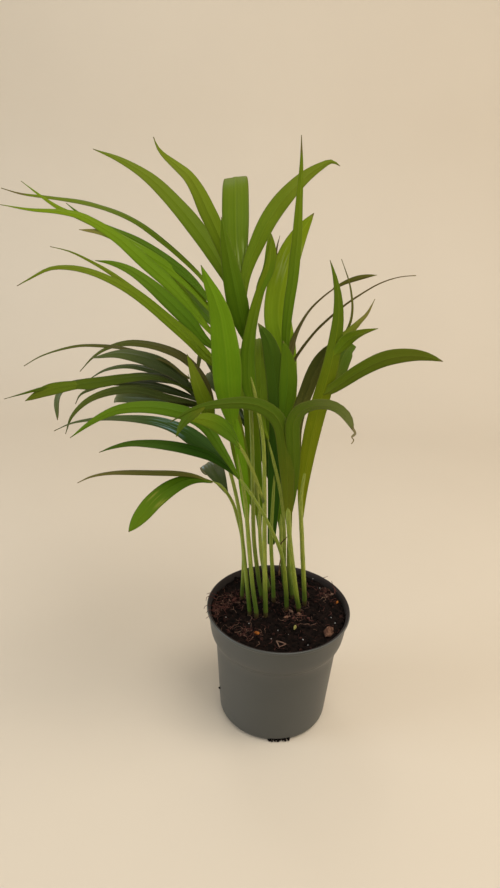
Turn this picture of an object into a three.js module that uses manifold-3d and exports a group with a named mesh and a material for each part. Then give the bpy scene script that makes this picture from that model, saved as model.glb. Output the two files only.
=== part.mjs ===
// A young cane palm: a clump of slim leafy stems growing in a round nursery pot of peat.
// Millimetres, +Z up, origin at the centre of the pot's underside, front towards -Y.
import * as THREE from "three";
import { mergeVertices } from "three/addons/utils/BufferGeometryUtils.js";
import Module from "manifold-3d";

const wasm = await Module();
wasm.setup();

// ---- Driving dimensions of the pot and its soil ----
const pot = {
  height: 106, // underside to rim
  rimRadius: 60,
  lipHeight: 3, // the turned rim
  collarTopRadius: 58.6, // just under the lip
  collarFootRadius: 56.2,
  collarFootHeight: 82,
  bodyTopRadius: 51.6,
  bodyTopHeight: 76.5,
  footRadius: 46,
  footRounding: 4,
  wall: 1.3,
  floor: 1.6,
  sides: 40,
};
const drain = { count: 4, width: 17, height: 3.6, inward: 9, firstAngle: -82 }; // slots at the foot
const soil = {
  top: 101.5, // mean level
  relief: 1.6, // height of its lumps and hollows
  gap: 0.3, // to the pot
  rings: 7,
  sides: 32,
  lumps: 26,
};
const hole = { floor: 84, top: 114, gap: 0.35, sides: 8 }; // each stem stands in a plain hole in the soil

// ---- Driving dimensions of the plant ----
const leafThickness = 0.7;
const leafRidge = 0.16; // how far a blade's edges fall from its rib, as a share of half its width
const tipWidth = 0.8;
const rootWidth = 2.2;
const bladeSteps = 8;
const stalkSides = 6;

// ---- The viewpoint from which the stems and leaves are placed ----
// A place is [across, down, back]: where it shows in a 500 x 888 picture taken from the eye,
// and how far behind the pot's axis it lies, in millimetres.
const picture = { width: 500, height: 888, focal: 700 };
const eye = new THREE.Vector3(-30, -483, 468);
const lookDown = THREE.MathUtils.degToRad(24);
const tilt = THREE.MathUtils.degToRad(2.6);
const forward = new THREE.Vector3(0, Math.cos(lookDown), -Math.sin(lookDown));
const level = new THREE.Vector3(1, 0, 0);
const pictureRight = level.clone().applyAxisAngle(forward, -tilt);
const pictureUp = level.clone().cross(forward).applyAxisAngle(forward, -tilt);

function lineOfSight(across, down) {
  const ray = forward.clone();
  ray.addScaledVector(pictureRight, (across - picture.width / 2) / picture.focal);
  ray.addScaledVector(pictureUp, (picture.height / 2 - down) / picture.focal);
  return ray;
}

function placed([across, down, back]) {
  const ray = lineOfSight(across, down);
  return eye.clone().addScaledVector(ray, (back - eye.y) / ray.y);
}

function onSoil([across, down]) {
  const ray = lineOfSight(across, down);
  return eye.clone().addScaledVector(ray, (soil.top - eye.z) / ray.z);
}

// ---- The stems and their leaves ----
// foot: where the stem stands, [x, y]. radius: at its foot and its top. stalk: its course from the soil up.
// Each blade: rib from root to tip; width at its widest; turn of its face about the rib, in degrees from
// facing the eye, at even steps from root to tip; peak: where along it is widest; tail: 0 for a straight
// taper, below 0 for a long thin tip, over 1 for a full one; root: its width where it leaves the stalk;
// from: the blade that it forks from, where that isn't the stalk; ridge and steps: its own, where they
// aren't the common ones.
const stems = {
  stem_low_left: {
    color: 0x5c7a26,
    foot: [-31, 12],
    radius: [1.6, 1.2],
    stalk: [
      [243.5, 560, 11], [242, 537, 10], [238, 520, 8], [234, 506, 5], [229, 496, 2], [221, 486, -3],
      [212, 481, -7],
    ],
    blades: {
      level_leaflet: {
        rib: [
          [213, 481, -7], [190, 474.5, -14], [150, 472.5, -20], [110, 473, -24], [90, 477, -27],
          [77.5, 483, -30],
        ],
        width: 7, turn: [62, 55],
      },
      drooping_leaflet: {
        rib: [
          [213, 481, -7], [193, 479, -16], [175, 485, -24], [155, 500, -36], [141, 516, -44],
          [128.5, 532, -50],
        ],
        width: 12.8, turn: [45, 15], peak: 0.6, tail: 2.2,
      },
      backward_leaflet: {
        rib: [[226, 494, 0], [222, 483, 8], [216, 472, 20], [211, 464, 36], [208, 463, 54], [208, 475, 80]],
        width: 17, turn: [10, 0], tail: 2.2,
      },
    },
  },
  stem_dark_fronds: {
    color: 0x2f4a1e,
    foot: [-24, -9.3],
    radius: [1.7, 1.1],
    stalk: [
      [247, 585, -9], [243, 545, -4], [239, 510, 0], [228, 465, 0], [213, 430, -2], [200, 404, -4],
      [192, 384, -4], [188, 374, -4],
    ],
    blades: {
      highest_arch: {
        rib: [
          [190, 378, -4], [165, 361, 4], [140, 352.5, 8], [120, 347.5, 11], [100, 345.5, 14],
          [80, 345.5, 16], [60, 349.5, 18], [40, 356.5, 20], [24, 366, 22],
        ],
        width: 4.5, turn: [58, 40],
      },
      second_arch: {
        rib: [
          [213, 428, -2], [212, 404, -1], [206, 384, 2], [196, 369, 6], [182, 356.5, 11], [163, 348, 17],
          [143, 343.5, 24], [125, 343, 29], [108, 347.5, 33], [93, 357, 35], [80, 371.5, 36],
        ],
        width: 7.2, turn: [10, 30, 20], peak: 0.5,
      },
      sheen_leaflet: {
        rib: [[195, 392, -4], [174, 372, 0], [150, 359.5, 2], [120, 353.5, 4], [92, 358, 4]],
        width: 13, turn: [30, 40], peak: 0.45,
      },
      third_arch: {
        rib: [[190, 384, -4], [165, 374, 14], [130, 366, 24], [105, 370, 30], [88, 380, 32]],
        width: 6, turn: [50, 30],
      },
      long_leaflet: {
        rib: [
          [192, 391, -4], [178, 384, -8], [155, 377, -14], [130, 377.5, -18], [100, 382, -22],
          [75, 385, -26], [55, 386, -28], [38, 389.5, -31], [20, 394.5, -33], [4, 399, -36],
        ],
        width: 8.5, turn: [70, 30, 20], peak: 0.6, tail: -0.55,
      },
      long_leaflet_fork: {
        rib: [[82, 384, -25], [64, 386.5, -28], [45, 391, -31], [25, 401, -33]],
        width: 8.5, turn: [20, 15], peak: 0.5, root: 5, from: "long_leaflet",
      },
      fourth_arch: {
        rib: [
          [194, 398, -4], [180, 384, 2], [160, 377, 0], [135, 376, -3], [112, 380.5, -8], [92, 388.5, -13],
          [80, 395, -16], [75.5, 404, -18],
        ],
        width: 6.5, turn: [50, 30],
      },
      hooked_leaflet: {
        rib: [
          [192, 386, -4], [150, 380, 10], [100, 380, 14], [70, 384.5, 14], [60, 391, 14], [56.2, 402, 14],
          [57.5, 420, 14],
        ],
        width: 6.2, turn: [60, 50, 10], peak: 0.88, tail: 1,
      },
      short_leaflet: {
        rib: [[197, 400, -4], [175, 391.5, -2], [145, 384, -2], [105, 384.5, -4]],
        width: 7, turn: [35, 35],
      },
      lowest_arch: {
        rib: [
          [197, 404, -4], [170, 398, -16], [130, 389, -24], [92, 398, -32], [72, 416, -36],
          [65.5, 434, -38],
        ],
        width: 6.5, turn: [30, 15],
      },
      blunt_leaflet: {
        rib: [[198, 408, -4], [170, 401, 8], [140, 397.5, 20], [118, 397, 38], [114, 402, 64]],
        width: 9.5, turn: [30, 10], peak: 0.5, tail: 2,
      },
      inner_leaflet: {
        rib: [
          [194, 407, -4], [180, 403, -8], [165, 398, -10], [150, 393, -12], [130, 388.5, -14],
          [118, 388, -15],
        ],
        width: 4.5, turn: [40, 40], steps: 6,
      },
      upright_leaflet: {
        rib: [[212, 428, -3], [207, 408, -12], [200, 390, -17], [194, 373, -18], [187, 354, -18]],
        width: 11.5, turn: [0, 0], peak: 0.4,
      },
    },
  },
  stem_bright_frond: {
    color: 0x7c9c25,
    foot: [-18.3, -11.5],
    radius: [1.8, 1.2],
    stalk: [
      [252.5, 585, -11], [249, 545, -9], [245, 500, -8], [237, 450, -8], [229, 410, -8], [223, 370, -6],
      [217, 330, -4], [213, 300, -2], [211, 288, 0],
    ],
    blades: {
      topmost_leaflet: {
        rib: [
          [211, 292, -1], [203, 279, 8], [180, 256, 22], [160, 239, 32], [140, 224, 40], [120, 213.5, 46],
          [100, 206.5, 52], [80, 201.5, 56], [43, 196.5, 62], [20, 193.5, 66], [1, 188, 68],
        ],
        width: 6.5, turn: [20, 45, 30], peak: 0.62, tail: 0.3,
      },
      second_leaflet: {
        rib: [
          [212, 305, -2], [190, 278, 8], [170, 262, 15], [150, 248.5, 22], [130, 237.5, 27],
          [110, 229, 31], [90, 220, 36], [78, 212.5, 38], [66, 203, 40],
        ],
        width: 8, turn: [25, 25],
      },
      third_leaflet: {
        rib: [
          [213, 315, -3], [190, 286, 6], [170, 269, 11], [150, 256, 16], [120, 238, 22], [100, 226, 25],
          [80, 217, 27], [60, 208.5, 29], [43, 197.5, 30], [21, 181, 32],
        ],
        width: 9, turn: [20, 20], tail: 0,
      },
      fourth_leaflet: {
        rib: [
          [215, 340, -5], [205, 325, -2], [190, 306, 2], [170, 284, 5], [150, 266, 7], [135, 252.5, 9],
          [120, 239.5, 11], [100, 226, 14], [80, 215.5, 16], [60, 211.5, 18], [30, 209.5, 21], [0, 204.5, 24],
        ],
        width: 10, turn: [15, 30], tail: 0,
      },
      split_tip: {
        rib: [[126, 244, 10.5], [104, 233, 12], [79, 229.5, 13]],
        width: 4.5, turn: [20, 20], steps: 6, from: "fourth_leaflet",
      },
      fifth_leaflet: {
        rib: [
          [216, 352, -6], [205, 340, -7], [190, 322, -9], [170, 302, -11], [150, 284, -13], [130, 270, -15],
          [112, 263, -17], [95, 260.5, -18],
        ],
        width: 11, turn: [15, 30],
      },
      sixth_leaflet: {
        rib: [
          [218, 366, -6], [208, 355, -9], [190, 338, -14], [170, 320, -18], [150, 302.5, -22],
          [130, 287, -26], [110, 272.5, -29], [90, 261, -32], [70, 251.5, -35], [50, 246.5, -38],
        ],
        width: 9, turn: [20, 30], peak: 0.25, tail: -0.3,
      },
      lowest_leaflet: {
        rib: [
          [219, 372, -6], [205, 358, -13], [190, 342, -20], [170, 323, -25], [150, 305.5, -30],
          [130, 290.5, -36], [110, 279.5, -41], [90, 271.5, -45], [70, 267.5, -49], [50, 268.5, -52],
          [30, 278.5, -56], [17, 286, -58],
        ],
        width: 6.5, turn: [15, 40],
      },
      shaded_leaflet: {
        rib: [[213, 328, -4], [200, 308, 20], [185, 290, 38], [169, 271, 50]],
        width: 12, turn: [20, 20], peak: 0.5,
      },
      broad_blade: {
        rib: [
          [233, 434, -9], [229, 395, -18], [226.5, 360, -23], [224, 338, -25], [220.5, 316, -27],
          [214.5, 297, -30], [207.5, 281, -32], [201, 265, -34],
        ],
        width: 20.5, turn: [0, 10], tail: 0.8,
      },
      leaf_base: {
        rib: [[248, 525, -8], [245, 495, -8], [242, 465, -9], [238, 435, -10], [234, 410, -11]],
        width: 8, turn: [0, 0], tail: 3,
      },
    },
  },
  stem_top_fan: {
    color: 0x7b9426,
    foot: [-14.3, 13.3],
    radius: [1.8, 1.3],
    stalk: [
      [258.5, 578, 13], [254, 540, 13], [253, 500, 12], [252, 440, 10], [249, 380, 8], [246, 340, 6],
      [243, 310, 4],
    ],
    blades: {
      left_arch: {
        rib: [
          [243, 312, 4], [232, 286, 8], [216, 257, 14], [200, 233, 20], [180, 208, 26], [150, 178, 32],
          [120, 159.5, 38], [93, 149, 42],
        ],
        width: 12.8, turn: [10, 30], peak: 0.42,
      },
      waved_tip: {
        rib: [
          [242, 305, 4], [229, 262, 3], [215.5, 228, 1], [207.5, 211, 0], [198, 190.5, -1],
          [188, 175.5, -3], [176, 165, -4], [164, 155, -6], [157.5, 147, -7], [153.5, 137, -8],
        ],
        width: 11.5, turn: [5, 15, 60], peak: 0.55,
      },
      folded_back: {
        rib: [
          [241, 305, 5], [237, 255, 18], [235.5, 215, 36], [235.5, 184, 56], [235.5, 178, 84],
          [237, 200, 118],
        ],
        width: 19.3, turn: [0, 0, -14], peak: 0.45, tail: 1.4, ridge: 0.03, steps: 12,
      },
      right_arch: {
        rib: [
          [244, 312, 4], [245, 280, 10], [249.5, 262, 14], [257, 244, 18], [266.5, 224, 22.5],
          [275.5, 209.5, 27], [287, 195, 31], [304, 178, 38], [318, 168, 42], [332, 161.5, 46],
          [340, 166, 48],
        ],
        width: 12.4, turn: [5, 25], peak: 0.55,
      },
      shaded_blade: {
        rib: [
          [246, 345, 5], [241, 318, 0], [236, 295, -5], [230, 265, -12], [225, 240, -20],
          [221.5, 217, -26],
        ],
        width: 15, turn: [0, 20], peak: 0.35,
      },
    },
  },
  stem_front_arch: {
    color: 0x64832a,
    foot: [-10.8, -9.7],
    radius: [2, 1.3],
    stalk: [
      [265, 585, -10], [264.5, 540, -10], [264.5, 490, -10], [263, 440, -9], [256, 400, -5],
      [249, 370, -4],
    ],
    blades: {
      upright_leaf: {
        rib: [
          [258, 420, -7], [250.5, 392, -6], [248, 368, -5], [249, 344, -5], [253.5, 317, -5],
          [260, 292, -5], [267, 268, -5], [270, 250, -5], [271, 235, -5],
        ],
        width: 12.2, turn: [0, 30, 10], peak: 0.3, tail: 0.4,
      },
      upright_tip: {
        rib: [[257, 300, -5.5], [262, 285, -5], [268, 271, -4], [270.6, 258, -4], [270.5, 232, -4]],
        width: 8, turn: [10, 0], peak: 0.55, tail: 1.5, root: 5, steps: 6, from: "upright_leaf",
      },
      forward_stalk: {
        rib: [[264, 505, -9], [257, 482, -22], [250, 465, -30], [242, 450, -36], [232, 436, -40]],
        width: 2.4, turn: [0, 0], tail: 5,
      },
      forward_arch: {
        rib: [[241, 448, -37], [230, 433, -41], [217, 423, -44], [203, 419, -47], [186, 419, -50]],
        width: 13, turn: [50, 30], peak: 0.5, from: "forward_stalk",
      },
    },
  },
  stem_dark_blade: {
    color: 0x234a1c,
    foot: [-3.9, 11.2],
    radius: [1.7, 1.3],
    stalk: [[273, 580, 11], [271, 540, 9], [273, 500, 6], [276, 460, 2], [281, 425, -3]],
    blades: {
      dark_blade: {
        rib: [
          [273, 545, 9], [273.5, 505, 6], [275, 470, 2], [278, 430, -4], [277, 395, -9], [273.5, 362, -13],
          [268, 340, -15], [258, 323, -16],
        ],
        width: 13.5, turn: [0, 10], peak: 0.75, tail: 2.2, root: 6,
      },
      light_half: {
        rib: [[278, 435, -4], [284, 410, -8], [288, 385, -12], [287.5, 360, -14], [283, 341, -16]],
        width: 13, turn: [0, 0], peak: 0.5, tail: 1.6, from: "dark_blade",
      },
    },
  },
  stem_left_reach: {
    color: 0x355c20,
    foot: [6.9, -0.4],
    radius: [1.9, 1.1],
    stalk: [
      [286, 590, -1], [282, 556, -6], [270, 527, -16], [258, 505, -20], [246, 487, -22], [236, 474, -22],
    ],
    blades: {
      upper_leaflet: {
        rib: [
          [240, 479, -22], [222, 450, -28], [205, 425, -33], [190, 415, -36], [170, 409.5, -39],
          [150, 407, -42], [130, 407.5, -45], [115, 410.5, -47], [100, 417, -50], [88, 424.5, -53],
          [70, 438, -56],
        ],
        width: 10, turn: [30, 25], peak: 0.45,
      },
      sheen_leaflet: {
        rib: [
          [238, 477, -22], [222, 458, -22], [205, 445, -23], [190, 435, -24], [175, 427, -26],
          [160, 422, -28], [145, 419.5, -30], [125, 418, -32], [100, 418.5, -36], [72, 423, -40],
          [54, 431, -42],
        ],
        width: 13, turn: [20, 55], peak: 0.35, tail: -0.4,
      },
      lower_leaflet: {
        rib: [
          [236, 475, -22], [225, 466, -24], [210, 456, -27], [190, 449.5, -31], [170, 445.5, -35],
          [150, 443.5, -38], [130, 443.5, -41], [112, 447.5, -44], [99, 452.5, -46],
        ],
        width: 8.5, turn: [30, 45],
      },
      side_stalk: {
        rib: [[284, 575, -4], [284, 525, -6], [280, 490, -10], [272, 455, -11], [267, 436, -7]],
        width: 2.6, turn: [0, 0], tail: 5,
      },
      folded_back: {
        rib: [
          [267, 440, -8], [262, 424, -5], [260.5, 404, 3], [261, 380, 13], [261, 354, 24], [259, 339, 42],
          [262, 346, 68],
        ],
        width: 12, turn: [0, 0], peak: 0.45, tail: 1.2, steps: 10, from: "side_stalk",
      },
    },
  },
  stem_forked: {
    color: 0x5b7327,
    foot: [17, -1],
    radius: [1.9, 1.8],
    stalk: [[296.5, 595, -4], [292, 560, -12], [289, 530, -20], [288, 505, -26]],
    blades: {
      left_arch: {
        rib: [
          [289, 525, -21], [288, 490, -30], [286.5, 462, -37], [284, 438, -42], [279, 421, -45],
          [268, 410, -48], [250, 403.5, -52], [220, 404, -57], [195, 409, -60], [170, 422, -62],
        ],
        width: 11.5, turn: [0, 0, 30, 35, 35], peak: 0.45, root: 4,
      },
      left_fork: {
        rib: [[205, 408, -59], [190, 416, -62], [181, 426, -64], [176, 437, -66]],
        width: 6.5, turn: [15, 15], steps: 6, from: "left_arch",
      },
      right_arch: {
        rib: [
          [290, 518, -22], [293, 485, -30], [294, 460, -36], [293, 438, -42], [293.5, 423, -45],
          [300, 411.5, -47], [314, 405.5, -50], [331, 406, -54], [343, 413, -57], [350, 423, -58],
          [353, 431, -59],
        ],
        width: 11, turn: [0, 0, 20, 20, 0], peak: 0.75, tail: 2.6, root: 4,
      },
      withered_tip: {
        rib: [[352, 427, -58.6], [355, 433.5, -60], [351.8, 437, -60], [353.6, 440, -60], [351.5, 444, -60]],
        width: 1.7, turn: [20, 70], from: "right_arch",
      },
    },
  },
  stem_spear: {
    color: 0x7a9a22,
    foot: [12, 16],
    radius: [1.8, 1.6],
    stalk: [[289, 570, 16], [290, 520, 15], [291, 470, 14], [290, 430, 12], [288, 390, 10], [286, 350, 8]],
    blades: {
      spear: {
        rib: [
          [288, 400, 9], [286, 370, 6], [286, 335, 3], [289.5, 302, 2], [293, 280, 2], [295, 260, 2],
          [297, 240, 2], [299.5, 200, 2], [301.5, 165, 2], [301.5, 135, 2],
        ],
        width: 8, turn: [15, 15], peak: 0.55, tail: 0.3,
      },
      broad_blade: {
        rib: [
          [290, 440, 12], [289, 395, 14], [284, 350, 18], [278, 318, 22], [281, 288, 26], [289, 258, 29],
          [300, 234, 32], [314, 213, 34],
        ],
        width: 20.5, turn: [0, 20], peak: 0.6, tail: 1.7,
      },
      torn_lobe: {
        rib: [[285, 285, 26], [278.5, 266, 31], [276.3, 254, 32.5], [277.4, 245.5, 33], [280, 235.5, 33.5]],
        width: 2, turn: [10, 10], steps: 6, from: "broad_blade",
      },
      upper_brown_leaflet: {
        rib: [
          [288, 385, 10], [290, 355, 14], [294.5, 338, 17], [301, 324, 20], [310, 310, 25], [322, 298, 29],
          [336, 287.5, 32], [350, 281, 36], [364, 277, 38], [376, 275, 40],
        ],
        width: 6.5, turn: [10, 60, 60], peak: 0.25, tail: -0.6,
      },
      upper_brown_tip: {
        rib: [[333, 289, 31.5], [344, 283.2, 34.2], [356, 278.8, 36.8], [367, 276.3, 38.5], [377, 275, 40]],
        width: 4.2, turn: [40, 30], peak: 0.55, root: 1.5, from: "upper_brown_leaflet",
      },
      lower_brown_leaflet: {
        rib: [
          [289, 395, 10], [294, 362, 6], [300, 351.5, 4], [311, 337, 3], [320, 327, 3], [344, 306, 6],
          [360, 295, 9], [380, 283.5, 12], [400, 277, 14], [416, 275.5, 16],
        ],
        width: 3, turn: [40, 50], peak: 0.3,
      },
    },
  },
  stem_right_frond: {
    color: 0x66781f,
    foot: [22.6, 9],
    radius: [1.9, 1.5],
    stalk: [[304, 585, 7], [302, 540, -2], [301, 500, -9], [306, 465, -14]],
    blades: {
      main_blade: {
        rib: [
          [302, 520, -7], [302.5, 492, -11], [306.5, 462, -15], [312.5, 432, -18], [321, 400, -21],
          [327, 380, -22], [332, 360, -22], [336, 338, -20], [338.5, 315, -18], [338, 295, -16],
          [334.5, 275, -14], [330, 260, -12],
        ],
        width: 12.5, turn: [0, 10], peak: 0.48, tail: 0.9, root: 3.5,
      },
      hair_leaflet: {
        rib: [
          [336, 352, -19], [344, 336, -14], [350.5, 322, -10], [352.5, 309, -7], [351.5, 294, -4],
          [349, 281, -1], [341.5, 259, 2],
        ],
        width: 2, turn: [30, 30], peak: 0.3, from: "main_blade",
      },
      upper_leaflet: {
        rib: [[336, 352, -19], [349, 333, -14], [359, 322.5, -11], [367, 314, -9], [375, 299, -8]],
        width: 8, turn: [15, 30], peak: 0.3, tail: -0.35, from: "main_blade",
      },
      level_leaflet: {
        rib: [[335, 356, -19], [349, 339, -22], [361, 333, -26], [378, 328.5, -30]],
        width: 9.5, turn: [20, 45], peak: 0.35, from: "main_blade",
      },
      shaded_leaflet: {
        rib: [[330, 388, -20], [337, 370, -12], [343, 356, -6], [349, 348, -1], [356, 347, 4]],
        width: 14.5, turn: [0, 20], peak: 0.5, tail: 1.8, root: 6, from: "main_blade",
      },
      long_leaflet: {
        rib: [
          [326, 396, -21], [340, 384, -24], [360, 371, -28], [380, 361, -31], [395, 357, -34],
          [415, 355.5, -37], [430, 357.5, -39], [443, 361.5, -41],
        ],
        width: 11.2, turn: [25, 20], peak: 0.6, tail: 0.9, root: 7, from: "main_blade",
      },
      dark_leaflet: {
        rib: [
          [301, 500, -9], [297, 460, -5], [296, 430, -2], [300, 409, 1], [306.5, 392, 3], [313, 375, 4],
          [322, 358, 4], [334, 346, 3], [346, 343, 2],
        ],
        width: 11, turn: [0, 20], peak: 0.72, tail: 1.6, root: 2.5,
      },
    },
  },
  stem_back_left: {
    color: 0x3c6422,
    foot: [-8, 26],
    radius: [1.7, 1.2],
    stalk: [[262, 560, 28], [258, 500, 34], [250, 440, 44], [242, 400, 54]],
    blades: {
      left_arch: {
        rib: [
          [246, 420, 49], [232, 401, 62], [216, 384, 80], [208, 374, 102], [207, 378, 124], [207, 395, 146],
        ],
        width: 11, turn: [0, 0], tail: 1.2, steps: 10,
      },
      middle_arch: {
        rib: [[244, 410, 52], [243, 376, 74], [243, 352, 100], [243, 350, 126], [243, 375, 152]],
        width: 10, turn: [0, 0], steps: 10,
      },
      far_left_arch: {
        rib: [
          [248, 430, 47], [228, 394, 66], [212, 364, 86], [203, 352, 106], [199, 360, 126], [197, 384, 142],
        ],
        width: 8, turn: [10, 10], steps: 10,
      },
      leaf_base: {
        rib: [[261, 535, 30], [258, 500, 34], [253.5, 450, 40], [250, 405, 46], [248, 372, 51]],
        width: 12, turn: [0, 0], peak: 0.6, tail: 1.6,
      },
      low_base: {
        rib: [[260, 520, 31], [250, 492, 32], [241.5, 460, 34], [235, 425, 37], [230, 392, 41]],
        width: 13, turn: [0, 0], peak: 0.6, tail: 1.6,
      },
    },
  },
  stem_back_right: {
    color: 0x456b22,
    foot: [6, 28],
    radius: [1.7, 1.2],
    stalk: [[282, 560, 32], [280, 500, 40], [277, 440, 50], [275, 400, 60]],
    blades: {
      right_arch: {
        rib: [[276, 415, 56], [276, 372, 76], [278, 350, 104], [280, 352, 134], [281, 375, 160]],
        width: 12, turn: [0, 0], steps: 10,
      },
      middle_arch: {
        rib: [[275, 405, 58], [268, 362, 72], [270, 334, 92], [274, 328, 118], [277, 345, 146]],
        width: 11, turn: [0, 0], steps: 10,
      },
      low_arch: {
        rib: [[278, 430, 52], [285, 400, 64], [289, 388, 88], [290, 394, 112], [289, 420, 134]],
        width: 10, turn: [-15, -15], steps: 10,
      },
      leaf_base: {
        rib: [[281, 535, 34], [279, 500, 38], [275, 450, 44], [270, 405, 50], [266, 375, 54]],
        width: 13, turn: [0, 0], peak: 0.6, tail: 1.6,
      },
      inner_base: {
        rib: [[280, 500, 40], [270, 472, 50], [265, 445, 57], [262, 415, 63], [261, 385, 68]],
        width: 12, turn: [0, 0], peak: 0.6, tail: 1.6,
      },
    },
  },
};

// ---- Chips lying in the soil ----
// at: where it shows in the picture. size: length, breadth, height. turn: about the upright, in degrees.
const chips = [
  { at: [329, 633], size: [11, 6, 5], turn: 20 },
  { at: [257, 634], size: [6.5, 3, 2.2], turn: -15 },
  { at: [281, 643], size: [7, 4.5, 2.2], turn: 35 },
  { at: [295, 628], size: [5, 3, 2.6], turn: 70 },
  { at: [293, 613], size: [6, 4, 3], turn: -40 },
  { at: [234, 601], size: [7, 3, 2.4], turn: 60 },
];

// ---- Solids ----
function solidOf(geometry) {
  geometry.deleteAttribute("normal");
  geometry.deleteAttribute("uv");
  const merged = mergeVertices(geometry, 1e-4);
  return new wasm.Manifold(
    new wasm.Mesh({
      numProp: 3,
      vertProperties: merged.getAttribute("position").array,
      triVerts: new Uint32Array(merged.index.array),
    }),
  );
}

function geometryOf(solid) {
  const { vertProperties, triVerts, numProp } = solid.getMesh();
  const geometry = new THREE.BufferGeometry();
  geometry.setAttribute("position", new THREE.BufferAttribute(vertProperties, numProp));
  geometry.setIndex(new THREE.BufferAttribute(triVerts, 1));
  return geometry;
}

// A closed solid through rings of equal counts of points. The first half of a ring is one face
// and the second half the other, and both faces are split into triangles alike.
function lofted(rings) {
  const count = rings[0].length;
  const index = [];
  for (let i = 0; i + 1 < rings.length; i++) {
    for (let a = 0; a < count; a++) {
      const b = (a + 1) % count;
      const [near, far] = [i * count, (i + 1) * count];
      if (a < count / 2) index.push(near + a, near + b, far + b, near + a, far + b, far + a);
      else index.push(near + a, near + b, far + a, near + b, far + b, far + a);
    }
  }
  const last = (rings.length - 1) * count;
  for (let a = 1; a + 1 < count; a++) {
    index.push(0, a + 1, a);
    index.push(last, last + a, last + a + 1);
  }
  const positions = rings.flat().flatMap((p) => [p.x, p.y, p.z]);
  const geometry = new THREE.BufferGeometry();
  geometry.setAttribute("position", new THREE.Float32BufferAttribute(positions, 3));
  geometry.setIndex(index);
  return geometry;
}

function smoothCurve(points) {
  return new THREE.CatmullRomCurve3(points, false, "centripetal");
}

// The point of a curve that lies nearest to a place.
function nearestOn(curve, place) {
  const points = curve.getPoints(200);
  return points.reduce((best, p) => (p.distanceTo(place) < best.distanceTo(place) ? p : best));
}

// Places, directions and sideways directions along a curve, the last carried along without twist.
function framesAlong(curve, steps) {
  const frames = [];
  for (let i = 0; i <= steps; i++) {
    const at = curve.getPointAt(i / steps);
    const along = curve.getTangentAt(i / steps);
    const side = new THREE.Vector3();
    if (i === 0) {
      side.crossVectors(along, eye.clone().sub(at)).normalize();
    } else {
      const before = frames[i - 1];
      const swing = new THREE.Quaternion().setFromUnitVectors(before.along, along);
      side.copy(before.side).applyQuaternion(swing);
    }
    frames.push({ at, along, side });
  }
  return frames;
}

// A value that runs evenly through a list, at t from 0 to 1.
function through(values, t) {
  const place = t * (values.length - 1);
  const i = Math.min(Math.floor(place), values.length - 2);
  return THREE.MathUtils.lerp(values[i], values[i + 1], place - i);
}

// Width of a blade along its length, as a share of its widest.
function fullness(t, peak, tail, rootShare) {
  if (t < peak) return rootShare + (1 - rootShare) * Math.sin((Math.PI / 2) * (t / peak));
  const past = (t - peak) / (1 - peak);
  return (1 - past ** (1 + tail)) ** 0.9;
}

function blade(curve, plan) {
  const { width, turn, peak = 0.4, tail = 0.6, root = rootWidth } = plan;
  const { ridge = leafRidge, steps = bladeSteps } = plan;
  const rings = framesAlong(curve, steps).map(({ at, along, side }, i) => {
    const t = i / steps;
    const across = side.clone().applyAxisAngle(along, THREE.MathUtils.degToRad(through(turn, t)));
    const up = across.clone().cross(along);
    const half = Math.max(width * fullness(t, peak, tail, root / width), tipWidth) / 2;
    const point = (s, face) =>
      at
        .clone()
        .addScaledVector(across, s * half)
        .addScaledVector(up, (face * leafThickness) / 2 - Math.abs(s) * ridge * half);
    return [point(-1, 1), point(0, 1), point(1, 1), point(1, -1), point(0, -1), point(-1, -1)];
  });
  return lofted(rings);
}

function stalkOf(curve, { foot, radius, stalk }) {
  const frames = framesAlong(curve, 2 * stalk.length);
  frames.unshift({
    at: new THREE.Vector3(foot[0], foot[1], hole.floor),
    along: new THREE.Vector3(0, 0, 1),
    side: frames[0].side.clone().setZ(0).normalize(),
  });
  const rings = frames.map(({ at, along, side }, i) => {
    const r = THREE.MathUtils.lerp(radius[0], radius[1], i / (frames.length - 1));
    const ring = [];
    for (let k = 0; k < stalkSides; k++) {
      const out = side.clone().applyAxisAngle(along, (2 * Math.PI * k) / stalkSides);
      ring.push(at.clone().addScaledVector(out, r));
    }
    return ring;
  });
  return lofted(rings);
}

// A stem with its blades, each rooted on the stalk or on the blade that it forks from.
function leafyStem(stem) {
  const start = new THREE.Vector3(stem.foot[0], stem.foot[1], soil.top + 4);
  const stalkCurve = smoothCurve([start, ...stem.stalk.map(placed)]);
  let solid = solidOf(stalkOf(stalkCurve, stem));
  const ribs = {};
  for (const [name, one] of Object.entries(stem.blades)) {
    const points = one.rib.map(placed);
    points[0] = nearestOn(ribs[one.from] ?? stalkCurve, points[0]);
    ribs[name] = smoothCurve(points);
    solid = solid.add(solidOf(blade(ribs[name], one)));
  }
  return geometryOf(solid);
}

// Radius of the pot's outside at a height.
function potRadius(z) {
  const { mapLinear } = THREE.MathUtils;
  const stages = [
    [0, pot.footRadius],
    [pot.bodyTopHeight, pot.bodyTopRadius],
    [pot.collarFootHeight, pot.collarFootRadius],
    [pot.height, pot.collarTopRadius],
  ];
  const i = z < pot.bodyTopHeight ? 0 : z < pot.collarFootHeight ? 1 : 2;
  return mapLinear(z, stages[i][0], stages[i + 1][0], stages[i][1], stages[i + 1][1]);
}

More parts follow.
